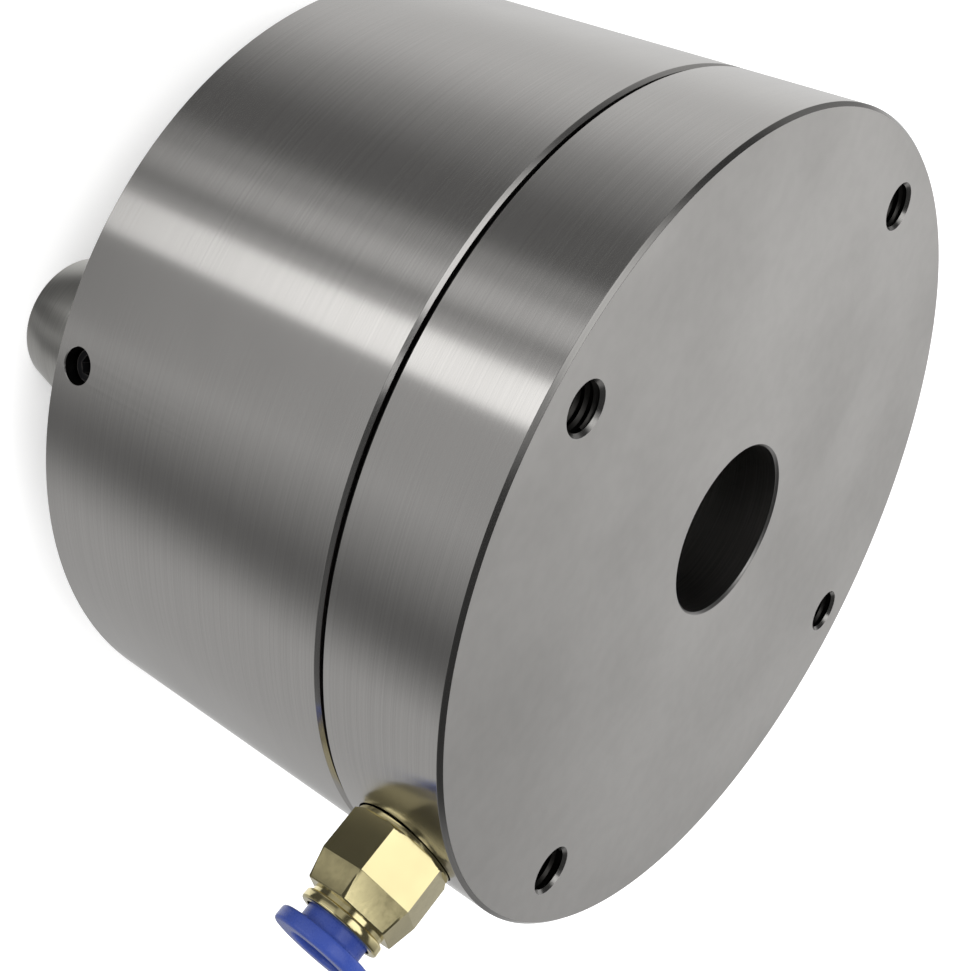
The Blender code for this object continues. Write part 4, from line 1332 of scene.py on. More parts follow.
@dataclass
class BaseDisc:
    """The disc with the base face: mounting holes, air port and seal groove."""

    shop: Workshop
    sizes: Sizes
    socket_depth: float = 6.0 * MM
    seal: float = 1.5 * MM
    bore_chamfer: float = 0.3 * MM
    mount_r: float = 2.95 * MM
    mount_mouth_r: float = 2.98 * MM
    mount_lead: float = 0.4 * MM
    mount_floor: float = 4.0 * MM
    mount_inset: float = 6.8 * MM
    drill_point: float = 59.0
    thread_pitch: float = 1.0 * MM
    thread_height: float = 0.35 * MM
    thread_sides: int = 4
    thread_steps: int = 36
    screw_r: float = 2.7 * MM
    screw_depth: float = 8.3 * MM
    airway_r: float = 2.0 * MM
    port_r: float = 3.2 * MM
    port_length: float = 8.3 * MM
    spot_r: float = 6.1 * MM
    spot_depth: float = 0.8 * MM
    port_sides: int = 96

    def build(self) -> None:
        """Build the disc, its base seal and the threads of its mounting holes."""
        s = self.sizes
        seal_r = s.piston_r - self.seal - s.seat_gap
        seal_half = self.seal / 2 + s.seat_gap
        seal_z = (s.spigot_z + s.joint_z) / 2
        socket_z = s.spigot_z + self.socket_depth
        outline = [
            (s.bore_r, s.base_z - self.bore_chamfer),
            (s.bore_r, socket_z),
            (s.cage_hole_r, socket_z),
            (s.cage_hole_r, s.spigot_z),
            (s.piston_r, s.spigot_z),
            (s.piston_r, seal_z - seal_half),
            (seal_r, seal_z - seal_half),
            (seal_r, seal_z + seal_half),
            (s.piston_r, seal_z + seal_half),
            (s.piston_r, s.joint_z),
            (s.outer_r - s.disc_joint_chamfer, s.joint_z),
            (s.outer_r, s.joint_z + s.disc_joint_chamfer),
            (s.outer_r, s.base_z - s.rim_chamfer),
            (s.outer_r - s.rim_chamfer, s.base_z),
            (s.bore_r + self.bore_chamfer, s.base_z),
        ]
        piece = link_mesh("base_disc_ground", lathe(s.fine(outline), s.round_sides))
        carve(piece, self.holes(), self.passage())
        self.shop.paint(shaded(piece), self.choose)
        self.shop.dress(piece, Finishes.FACE, "base_disc")
        self.threads()
        self.shop.seal("base_seal_ring", "base_seal", seal_r, self.seal, seal_z)

    def choose(self, centre: Vector, normal: Vector) -> Zone:
        """Choose a face's zone: wall, base face, inside, chamfer, or recess with painted shade.

        Args:
            centre: the face's centre.
            normal: its normal.

        Returns:
            The zone.
        """
        s = self.sizes
        radius = hypot(centre.x, centre.y)
        outward = (normal.x * centre.x + normal.y * centre.y) / max(radius, MM)
        if radius > s.outer_r - s.disc_joint_chamfer and outward > s.outward:
            # The chamfer that faces down into the joint groove: painted shade.
            if normal.z < -s.sloped:
                return Zone.PAINTED_SHADE_RECESS
            return Zone.CHAMFER if normal.z > s.sloped else Zone.WALL
        if centre.z > s.base_z - s.edge_round:
            return Zone.FACE
        # Holes beyond the cylinder: the mounting holes' mouth chamfers in chamfer steel, deeper
        # faces painted shade.
        if radius > s.cylinder_r and centre.z > s.joint_z + MM:
            return Zone.CHAMFER if centre.z > s.base_z - self.mount_lead else Zone.PAINTED_SHADE_RECESS
        return Zone.INSIDE

    def mount_circle(self) -> float:
        """Radius of the circle of mounting holes."""
        return self.sizes.outer_r - self.mount_inset

    def holes(self) -> Shape:
        """Mounting holes, the blind holes of the base screws and the airway.

        Returns:
            The bodies to cut away.
        """
        s = self.sizes
        end = s.joint_z + self.mount_floor
        crest_r = self.crest_r()
        slope = (self.mount_mouth_r - crest_r) / self.mount_lead
        tapped = [(0.0, end - self.mount_r / tan(radians(self.drill_point))),
                  (self.mount_r, end),
                  (self.mount_r, s.base_z - self.mount_lead - self.thread_height),
                  (crest_r, s.base_z - self.mount_lead),
                  (self.mount_mouth_r + slope * MM, s.base_z + MM), (0.0, s.base_z + MM)]
        blind = drill(self.screw_r, s.joint_z - MM, s.joint_z + self.screw_depth)
        airway = drill(self.airway_r, s.spigot_z - MM, self.port_z())
        screw = centre_of("base_screw_1")
        mount_places = ring(4, MOUNT_ANGLE, self.mount_circle())
        screw_places = ring(4, SCREW_ANGLE, hypot(screw.x, screw.y))
        return gathered(bored(tapped, WIDE_HOLE_SIDES, mount_places)
                        + bored(blind, SMALL_HOLE_SIDES, screw_places)
                        + bored(airway, SMALL_HOLE_SIDES, ring(1, radius=s.airway_x())))

    def crest_r(self) -> float:
        """Radius of the opening between the thread crests of a mounting hole."""
        return self.mount_r - self.thread_height

    def port_z(self) -> float:
        """Height of the air port."""
        return (self.sizes.joint_z + self.sizes.base_z) / 2

    def passage(self) -> Shape:
        """The air port with its spot face.

        Returns:
            The body to cut away.
        """
        s = self.sizes
        spot_x = s.outer_r - self.spot_depth
        inner = s.airway_x() - self.airway_r - s.seat_gap
        port_end = spot_x - self.port_length
        outline = [(0.0, inner), (self.airway_r, inner), (self.airway_r, port_end),
                   (self.port_r, port_end), (self.port_r, spot_x), (self.spot_r, spot_x),
                   (self.spot_r, s.outer_r + MM), (0.0, s.outer_r + MM)]
        return lathe(outline, self.port_sides, False, along_x(self.port_z()))

    def threads(self) -> None:
        """Thread ridges inside the mounting holes, coloured with the holes' painted shade."""
        s = self.sizes
        material = self.shop.finishes.material(Finishes.PAINTED_SHADE_RECESS)
        low = s.joint_z + self.mount_floor + self.thread_pitch / 2
        high = s.base_z - self.mount_lead - self.thread_pitch / 2
        ridge = self.shop.coil.body(self.mount_r, low, high, (high - low) / self.thread_pitch,
                                    self.thread_height, material, self.thread_sides,
                                    self.thread_steps)
        spot = Vector((self.mount_circle(), 0.0, 0.0))
        self.shop.repeat("mount_threads", moved(ridge, spot), 4, MOUNT_ANGLE, spot,
                         Finishes.PAINTED_SHADE_RECESS)


@dataclass
class BallLock:
    """The ball cage, the six balls, the cone piston, its springs and its seals."""

    shop: Workshop
    sizes: Sizes
    ball_count: int = 6
    spring_count: int = 8
    socket_depth: float = 6.0 * MM
    cage_recess: float = 0.5 * MM
    cage_lead: float = 1.5 * MM
    flange_thickness: float = 3.0 * MM
    seal: float = 1.5 * MM
    piston_seal: float = 2.0 * MM
    ball_lip: float = 0.5 * MM
    lip_gap: float = 0.2 * MM
    cone_angle: float = 30.0
    guide_length: float = 2.5 * MM
    piston_edge: float = 0.5 * MM
    piston_land: float = 4.57 * MM
    pocket_depth: float = 10.0 * MM
    spring_wire: float = 1.2 * MM
    spring_turns: float = 4.0
    ball_sides: int = 40
    ball_rings: int = 24

    def build(self) -> None:
        """Build the mechanism."""
        self.build_cage()
        self.build_balls()
        self.build_piston()
        self.build_springs()

    def stroke(self) -> float:
        """How far the piston goes down to free the balls."""
        return self.sizes.ball_reach / tan(radians(self.cone_angle))

    def build_cage(self) -> None:
        """Build the flanged sleeve with its ball windows, and its seal."""
        s = self.sizes
        top = s.spigot_z + self.socket_depth - s.seat_gap
        low = s.face_z + self.cage_recess
        flange_z = s.floor_z + s.seat_gap
        flange_top = flange_z + self.flange_thickness
        flange_r = s.cage_r + s.flange_width
        seal_floor = s.cage_r - self.seal - s.seat_gap
        half = self.seal / 2 + s.seat_gap
        seal_z = s.spigot_z + self.socket_depth / 2
        outline = [
            (s.bore_r + self.cage_lead, low), (s.cage_r, low), (s.cage_r, flange_z),
            (flange_r, flange_z), (flange_r, flange_top), (s.cage_r, flange_top),
            (s.cage_r, seal_z - half), (seal_floor, seal_z - half), (seal_floor, seal_z + half),
            (s.cage_r, seal_z + half), (s.cage_r, top), (s.bore_r, top),
            (s.bore_r, low + self.cage_lead),
        ]
        piece = link_mesh("ball_cage_sleeve", lathe(s.fine(outline), SLEEVE_SIDES))
        ball_z = centre_of("lock_ball_1").z
        rim_r = s.bore_r + self.ball_lip
        hole_r = s.ball_r + s.seat_gap
        lip_r = sqrt(s.ball_r ** 2 - (s.ball_centre_r - rim_r) ** 2) + self.lip_gap
        window = [(0.0, s.bore_r - 2 * MM), (lip_r, s.bore_r - 2 * MM), (lip_r, rim_r),
                  (hole_r, rim_r), (hole_r, s.cage_r + MM), (0.0, s.cage_r + MM)]
        places = [place @ along_x(ball_z) for place in ring(self.ball_count)]
        carve(piece, gathered(bored(window, HOLE_SIDES, places)))
        self.shop.dress(shaded(piece), Finishes.HARD, "ball_cage")
        self.shop.seal("cage_seal_ring", "cage_seal", seal_floor + s.seat_gap / 2, self.seal,
                       seal_z)

    def build_balls(self) -> None:
        """Build the lock balls, one on each body."""
        for k, node in enumerate(numbered("lock_ball", self.ball_count)):
            shape = bmesh.new()
            bmesh.ops.create_uvsphere(shape, u_segments=self.ball_sides,
                                      v_segments=self.ball_rings, radius=self.sizes.ball_r,
                                      matrix=Matrix.Translation(centre_of(node)))
            piece = link_mesh(f"polished_ball_{k + 1}", shape)
            piece.data.shade_smooth()
            self.shop.dress(piece, Finishes.BALL, node, body=f"ball_{k + 1}")

    def build_piston(self) -> None:
        """Build the ring piston with its cone and spring pockets, and its seals."""
        s = self.sizes
        low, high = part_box("piston")
        seal_z = high.z - self.piston_land / 2
        relief_top = high.z - self.piston_land
        outer_floor = s.piston_r - self.piston_seal - s.seat_gap
        outer_half = self.piston_seal / 2 + s.seat_gap
        inner_floor = s.cage_hole_r + self.seal + s.seat_gap
        inner_half = self.seal / 2 + s.seat_gap
        relief_r = s.ball_centre_r + s.ball_reach + s.ball_r + 2 * s.seat_gap
        cone_start = low.z + self.guide_length
        cone_end = cone_start + (relief_r - s.cage_hole_r) / tan(radians(self.cone_angle))
        edge = self.piston_edge
        outline = [
            (s.cage_hole_r, low.z), (s.piston_r - edge, low.z), (s.piston_r, low.z + edge),
            (s.piston_r, seal_z - outer_half), (outer_floor, seal_z - outer_half),
            (outer_floor, seal_z + outer_half), (s.piston_r, seal_z + outer_half),
            (s.piston_r, high.z - edge), (s.piston_r - edge, high.z), (s.cage_hole_r, high.z),
            (s.cage_hole_r, seal_z + inner_half), (inner_floor, seal_z + inner_half),
            (inner_floor, seal_z - inner_half), (s.cage_hole_r, seal_z - inner_half),
            (s.cage_hole_r, relief_top), (relief_r, relief_top), (relief_r, cone_end),
            (s.cage_hole_r, cone_start),
        ]
        piece = link_mesh("cone_piston", lathe(s.fine(outline), SLEEVE_SIDES))
        pocket = drill(s.spring_pocket_r, low.z - edge, low.z + self.pocket_depth)
        carve(piece, gathered(bored(pocket, SMALL_HOLE_SIDES, s.spring_places())))
        ride = Body.PISTON.value
        self.shop.dress(shaded(piece), Finishes.HARD, "piston", body=ride)
        self.shop.seal("piston_outer_ring", "piston_outer_seal", outer_floor + s.seat_gap / 2,
                       self.piston_seal, seal_z, ride)
        self.shop.seal("piston_inner_ring", "piston_inner_seal", s.cage_hole_r + s.seat_gap / 2,
                       self.seal, seal_z, ride)

    def build_springs(self) -> None:
        """Build the clamping springs as one piece, with a mesh of its own."""
        s = self.sizes
        low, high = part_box("clamp_spring_1")
        wire_r = self.spring_wire / 2
        coil = self.shop.coil.body(s.spring_r - wire_r, low.z + wire_r, high.z - wire_r,
                                   self.spring_turns, wire_r,
                                   self.shop.finishes.material(Finishes.WIRE))
        spot = Vector((s.spring_circle_r, 0.0, 0.0))
        springs = self.shop.repeat("clamp_springs", moved(coil, spot), self.spring_count,
                                   SPRING_ANGLE, spot, Finishes.WIRE,
                                   *numbered("clamp_spring", self.spring_count))
        length = high.z - low.z
        (length - self.stroke()) / length
        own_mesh(springs)


@dataclass(frozen=True)
class CapScrew:
    """A socket cap screw with its head down; its thread starts at the shank's end."""

    radius: float
    head_r: float
    head_height: float
    key_width: float
    key_depth: float
    pitch: float
    thread_length: float
    edge: float = 0.4 * MM
    groove_share: float = 0.55

    def body(self, shank: float) -> Shape:
        """Make the screw, with the seat under its head at z = 0.

        Args:
            shank: length of its shank, with the thread at its end.

        Returns:
            The screw as a body.
        """
        top, r, edge = -self.head_height, self.radius, self.edge
        outline = [(0.0, top), (self.head_r - edge, top), (self.head_r, edge + top),
                   (self.head_r, 0.0), (r, 0.0)]
        start = shank - self.thread_length
        turns = int(self.thread_length / self.pitch)
        for k in range(turns):
            z = start + k * self.pitch
            outline += [(r, z), (r - self.groove_share * self.pitch, z + self.pitch / 2)]
        outline += [(r, start + turns * self.pitch - self.pitch / 4), (r - edge, shank),
                    (0.0, shank)]
        piece = link_mesh("cap_screw", lathe(outline, HOLE_SIDES, False))
        socket = prism_body(hexagon(self.key_width), top - MM, self.key_depth + top)
        return taken(carve(piece, socket))


@dataclass
class ChuckFace:
    """What the chuck face carries: base screws, support pillars and centring prisms."""

    shop: Workshop
    sizes: Sizes
    count: int = 4
    base_screw: CapScrew = CapScrew(
        radius=2.5 * MM, head_r=4.25 * MM, head_height=5.0 * MM, key_width=4.0 * MM,
        key_depth=2.8 * MM, pitch=0.8 * MM, thread_length=14.0 * MM)
    prism_screw: CapScrew = CapScrew(
        radius=2.0 * MM, head_r=3.5 * MM, head_height=4.0 * MM, key_width=3.0 * MM,
        key_depth=2.2 * MM, pitch=0.7 * MM, thread_length=5.6 * MM)
    pillar_lead_length: float = 4.5 * MM
    pillar_lead: float = 1.0 * MM
    pillar_round: float = 0.3 * MM
    pillar_round_steps: int = 3
    pillar_sides: int = 96
    shank_r: float = 5.0 * MM
    notch: float = 0.6 * MM
    side_screw_r: float = 2.0 * MM
    side_screw_height: float = 3.8 * MM
    side_screw_sink: float = 1.5 * MM
    side_pitch: float = 0.7 * MM
    side_groove: float = 0.35 * MM
    side_key: float = 2.0 * MM
    side_key_depth: float = 2.5 * MM
    prism_flank: float = 1.6 * MM
    prism_bevel: float = 0.4 * MM
    prism_bevel_steps: int = 3

    def build(self) -> None:
        """Build the screws, pillars and prisms."""
        self.build_base_screws()
        self.build_pillars()
        self.build_side_screws()
        self.build_prisms()

    def build_base_screws(self) -> None:
        """Build the cap screws that hold the base disc."""
        low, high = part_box("base_screw_1")
        seat = low.z + self.base_screw.head_height
        centre = centre_of("base_screw_1")
        spot = Vector((hypot(centre.x, centre.y), 0.0, seat))
        self.shop.repeat("base_cap_screws", moved(self.base_screw.body(high.z - seat), spot),
                         self.count, SCREW_ANGLE, spot, Finishes.BLACK,
                         *numbered("base_screw", self.count))

    def build_pillars(self) -> None:
        """Build the support pillars with their ground tips."""
        s = self.sizes
        low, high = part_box("support_pillar_1")
        centre = centre_of("support_pillar_1")
        r = (high.x - low.x) / 2
        screw_z = s.face_z + self.side_screw_height
        shoulder = s.face_z - s.seat_gap
        outline = [
            (0.0, low.z), (r - self.pillar_lead, low.z), (r, low.z + self.pillar_lead_length),
            (r, shoulder), (self.shank_r, shoulder), (self.shank_r, screw_z - self.side_screw_r),
            (self.shank_r - self.notch, screw_z), (self.shank_r, screw_z + self.side_screw_r),
            (self.shank_r, high.z), (0.0, high.z),
        ]
        spot = Vector((hypot(centre.x, centre.y), 0.0, 0.0))
        soft = rounded(outline, self.pillar_round, False, self.pillar_round_steps)
        shape = lathe(soft, self.pillar_sides, False, Matrix.Translation(spot))
        self.shop.repeat("support_pillars", shape, self.count, PILLAR_ANGLE, spot, Finishes.PAD,
                         *numbered("support_pillar", self.count))

    def build_side_screws(self) -> None:
        """Build the socket set screws that lock the pillars."""
        s = self.sizes
        centre = centre_of("support_pillar_1")
        inner = hypot(centre.x, centre.y) + self.shank_r + s.seat_gap
        outer = s.outer_r - self.side_screw_sink
        r, pitch, groove = self.side_screw_r, self.side_pitch, self.side_groove
        outline = [(0.0, inner), (r - groove, inner)]
        for k in range(int((outer - inner - groove) / pitch)):
            z = inner + groove + k * pitch
            outline += [(r, z + pitch / 4), (r, z + pitch / 2), (r - groove, z + pitch)]
        outline += [(r - groove / 2, outer), (0.0, outer)]
        piece = link_mesh("set_screw", lathe(outline, HOLE_SIDES, False))
        socket = prism_body(hexagon(self.side_key), outer - self.side_key_depth, outer + MM)
        shape = taken(carve(piece, socket))
        lying = along_x(s.face_z + self.side_screw_height)
        bmesh.ops.transform(shape, matrix=lying, verts=shape.verts)
        self.shop.repeat("side_set_screws", shape, self.count, PILLAR_ANGLE,
                         lying @ Vector((0.0, 0.0, outer)), Finishes.BLACK,
                         *numbered("side_screw", self.count))

    def build_prisms(self) -> None:
        """Build the centring prisms and the screws that hold them."""
        s = self.sizes
        low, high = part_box("centring_prism_1")
        screw_low, screw_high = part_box("prism_screw_1")
        seat = screw_low.z + self.prism_screw.head_height
        half = (high.y - low.y) / 2
        root = s.face_z - s.seat_gap
        outline = [(-half + self.prism_flank, low.z), (half - self.prism_flank, low.z),
                   (half, root), (half, high.z), (-half, high.z), (-half, root)]
        lay_down = Matrix(((0, 0, 1, 0), (1, 0, 0, 0), (0, 1, 0, 0), (0, 0, 0, 1)))
        shape = prism_body(outline, low.x, high.x, lay_down)
        middle = (low.z + root) / 2
        at_tip = [e for e in shape.edges if min(v.co.z for v in e.verts) < middle]
        bmesh.ops.bevel(shape, geom=at_tip, offset=self.prism_bevel,
                        segments=self.prism_bevel_steps, affect="EDGES", profile=0.5)
        spot = Vector(((low.x + high.x) / 2, 0.0, seat))
        head_r = self.prism_screw.head_r + s.seat_gap
        shank_r = self.prism_screw.radius + s.seat_gap
        hole = [(0.0, low.z - MM), (head_r, low.z - MM), (head_r, seat + s.seat_gap),
                (shank_r, seat + s.seat_gap), (shank_r, high.z + MM), (0.0, high.z + MM)]
        cutter = lathe(hole, WIDE_HOLE_SIDES, False, Matrix.Translation((spot.x, 0.0, 0.0)))
        shape = taken(carve(link_mesh("prism", shape), cutter))
        self.shop.repeat("centring_prisms", shape, self.count, 0.0, spot, Finishes.PRISM,
                         *numbered("centring_prism", self.count))
        screw = self.prism_screw.body(screw_high.z - seat)
        self.shop.repeat("prism_cap_screws", moved(screw, spot), self.count, 0.0, spot,
                         Finishes.BLACK, *numbered("prism_screw", self.count))


@dataclass
class AirFitting:
    """The push-in fitting: brass body, gasket, tube seal, grip ring and release collar."""

    shop: Workshop
    sizes: Sizes
    spot_depth: float = 0.8 * MM
    hex_width: float = 11.2 * MM
    hex_corner: float = 12.3
    hex_length: float = 5.8 * MM
    washer_r: float = 5.95 * MM
    washer_thickness: float = 0.3 * MM
    washer_sink: float = 0.25 * MM
    back_chamfer: float = 0.35 * MM
    taper_length: float = 3.1 * MM
    taper_step: float = 0.5 * MM
    neck_length: float = 0.6 * MM
    ring_length: float = 1.2 * MM
    neck_wall: float = 0.35 * MM
    ring_step: float = 0.45 * MM
    edge_round: float = 0.12 * MM
    ring_round: float = 0.3 * MM
    thread_pitch: float = 0.8 * MM
    thread_depth: float = 0.45 * MM
    socket_wall: float = 0.6 * MM
    thread_r: float = 3.0 * MM
    thread_length: float = 8.0 * MM
    tube_r: float = 3.0 * MM
    tube_gap: float = 0.25 * MM
    collar_wall: float = 0.5 * MM
    tube_seal: float = 0.9 * MM
    slit_count: int = 12
    slit_half: float = 0.12 * MM
    slit_margin: float = 0.25 * MM
    grip_sides: int = 96
    flange_thickness: float = 1.7 * MM
    collar_round: float = 0.45 * MM
    collar_round_steps: int = 4
    sides: int = 144

    def build(self) -> None:
        """Build the fitting."""
        self.build_body()
        self.build_seals()
        self.build_grip()
        self.build_collar()

    def place(self) -> Matrix:
        """Place of the fitting's own axis."""
        return along_x(centre_of("fitting_body").z)

    def cavity_r(self) -> float:
        """Radius of the socket that the collar slides in."""
        return self.tube_r + self.tube_gap + self.collar_wall + self.sizes.seat_gap

    def hexagon_radius(self, width: float, angle: float) -> float:
        """Distance to a hexagon's side at an angle in degrees."""
        from_flat = (angle - self.hex_corner) % 60.0 - 30.0
        return width / 2 / cos(radians(from_flat))

    def build_body(self) -> None:
        """Loft the brass body through round and hexagonal sections."""
        s = self.sizes
        seat_x = s.outer_r - self.spot_depth
        thread_x = seat_x - self.thread_length
        hex_x = s.outer_r
        hex_end = hex_x + self.hex_length
        taper_end = hex_end + self.taper_length
        neck_end = taper_end + self.neck_length
        ring_end = neck_end + self.ring_length
        neck_r = self.cavity_r() + self.neck_wall
        ring_r = neck_r + self.ring_step
        passage_r = self.thread_r / 2
        root_r = self.thread_r - self.thread_depth
        washer_x = hex_x + self.washer_thickness
        soft, round_r = self.edge_round, self.ring_round
        taper_width = 2 * (neck_r + self.taper_step)

        def circle(radius: float) -> Callable[[float], float]:
            """The same radius at every angle."""
            return lambda angle: radius

        def hexagonal(width: float, limit: float = 1.0) -> Callable[[float], float]:
            """A hexagon's radius at each angle, held to a limit."""
            return lambda angle: min(limit, self.hexagon_radius(width, angle))

        stations = [(thread_x, circle(passage_r)), (thread_x, circle(root_r))]
        for k in range(int((self.thread_length - MM) / self.thread_pitch)):
            x = thread_x + (k + 0.5) * self.thread_pitch
            stations += [(x, circle(self.thread_r)), (x + self.thread_pitch / 2, circle(root_r))]
        washer_low = hex_x - self.washer_sink
        stations += [
            (washer_low, circle(root_r)),
            (washer_low, circle(self.washer_r - soft)),
            (washer_low + soft / 3, circle(self.washer_r - soft / 3)),
            (washer_low + soft, circle(self.washer_r)),
            (washer_x, circle(self.washer_r)),
        ]
        corner_r = self.hex_width / sqrt(3)
        for k in range(CHAMFER_STEPS + 1):
            share = k / CHAMFER_STEPS
            limit = self.washer_r + (corner_r - self.washer_r) * share
            stations.append((washer_x + self.back_chamfer * share,
                             hexagonal(self.hex_width, limit)))
        stations += [
            (hex_end - soft, hexagonal(self.hex_width)),
            (hex_end, hexagonal(self.hex_width - soft / 3)),
            (taper_end - soft, hexagonal(taper_width + soft / 2)),
            (taper_end, hexagonal(taper_width - soft)),
            (taper_end, circle(neck_r)),
            (neck_end, circle(neck_r)),
            (neck_end, circle(ring_r - round_r)),
        ]
        quarter = [pi / 2 * k / QUARTER_STEPS for k in range(QUARTER_STEPS + 1)]
        arc = [(round_r * (1 - cos(turn)), round_r * (1 - sin(turn))) for turn in quarter]
        stations += [(neck_end + near, circle(ring_r - far)) for near, far in arc]
        stations += [(ring_end - far, circle(ring_r - near)) for near, far in arc]
        stations += [
            (ring_end, circle(self.cavity_r())),
            (hex_x + self.socket_wall, circle(self.cavity_r())),
            (hex_x + self.socket_wall, circle(passage_r)),
        ]
        shape = bmesh.new()
        angles = [self.hex_corner + 360.0 * k / self.sides for k in range(self.sides)]
        z = centre_of("fitting_body").z
        rings = [[shape.verts.new((x, radius(angle) * cos(radians(angle)),
                                   z - radius(angle) * sin(radians(angle)))) for angle in angles]
                 for x, radius in stations]
        for low, high in zip(rings, rings[1:] + rings[:1]):
            for k in range(self.sides):
                after = (k + 1) % self.sides
                shape.faces.new((low[k], low[after], high[after], high[k]))
        bmesh.ops.remove_doubles(shape, verts=shape.verts, dist=MERGE_DISTANCE)
        bmesh.ops.recalc_face_normals(shape, faces=shape.faces)
        piece = shaded(link_mesh("brass_body", shape))
        self.shop.dress(piece, Finishes.BRASS, "fitting_body")

    def build_seals(self) -> None:
        """Build the gasket under the hexagon and the tube seal."""
        s = self.sizes
        seal = self.shop.seal
        seal("hexagon_gasket", "fitting_gasket", self.thread_r + s.seat_gap,
             self.spot_depth - s.seat_gap, centre_of("fitting_gasket").x, matrix=self.place())
        inner = self.cavity_r() - s.seat_gap / 2 - self.tube_seal
        seal("tube_seal_ring", "tube_seal", inner, self.tube_seal, centre_of("tube_seal").x,
             matrix=self.place())

    def build_grip(self) -> None:
        """Build the grip ring, slit into teeth that hold the tube."""
        s = self.sizes
        low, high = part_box("grip_ring")
        outer = self.cavity_r() - s.seat_gap
        inner = self.tube_r + s.thread_gap
        length = high.x - low.x
        outline = [(inner, low.x), (outer, low.x + length / 3), (outer, high.x),
                   (inner, low.x + length / 2)]
        ring_body = lathe(outline, self.grip_sides, True, self.place())
        half, reach = self.slit_half, outer - self.slit_margin
        slit = [(inner / 2, -half), (reach, -half), (reach, half), (inner / 2, half)]
        slits = [prism_body(slit, low.x - MM, high.x + MM, self.place() @ turn)
                 for turn in ring(self.slit_count)]
        piece = carve(link_mesh("toothed_grip_ring", ring_body), gathered(slits))
        self.shop.dress(shaded(piece), Finishes.WIRE, "grip_ring")

    def build_collar(self) -> None:
        """Build the blue release collar."""
        low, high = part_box("release_collar")
        tube_r = self.tube_r + self.tube_gap
        collar_r = tube_r + self.collar_wall
        flange_r = (high.y - low.y) / 2
        flange_x = high.x - self.flange_thickness
        outline = [
            (tube_r, low.x), (collar_r, low.x), (collar_r, flange_x),
            (flange_r, flange_x), (flange_r, high.x), (tube_r, high.x),
        ]
        soft = rounded(outline, self.collar_round, True, self.collar_round_steps)
        piece = link_mesh("collar_moulding", lathe(soft, self.sides, True, self.place()))
        self.shop.dress(shaded(piece), Finishes.BLUE, "release_collar", body=Body.COLLAR.value)


# Studio


@dataclass(frozen=True)
class Card:
    """A matt card in front of the white tent, as polished metal sees it.

    It reaches round from one azimuth to another and from one elevation to another, all in
    degrees, fades out beyond each, and has its own light, where 1 is white.
    """

    start: float
    end: float
    start_fade: float
    end_fade: float
    light: float
    low: float = -90.0
    high: float = 0.0
    height_fade: float = 8.0


@dataclass(frozen=True)
class Lamp:
    """A round soft lamp that shines on the chuck's middle."""

    name: str
    spot: tuple[float, float, float]
    size: float
    power: float


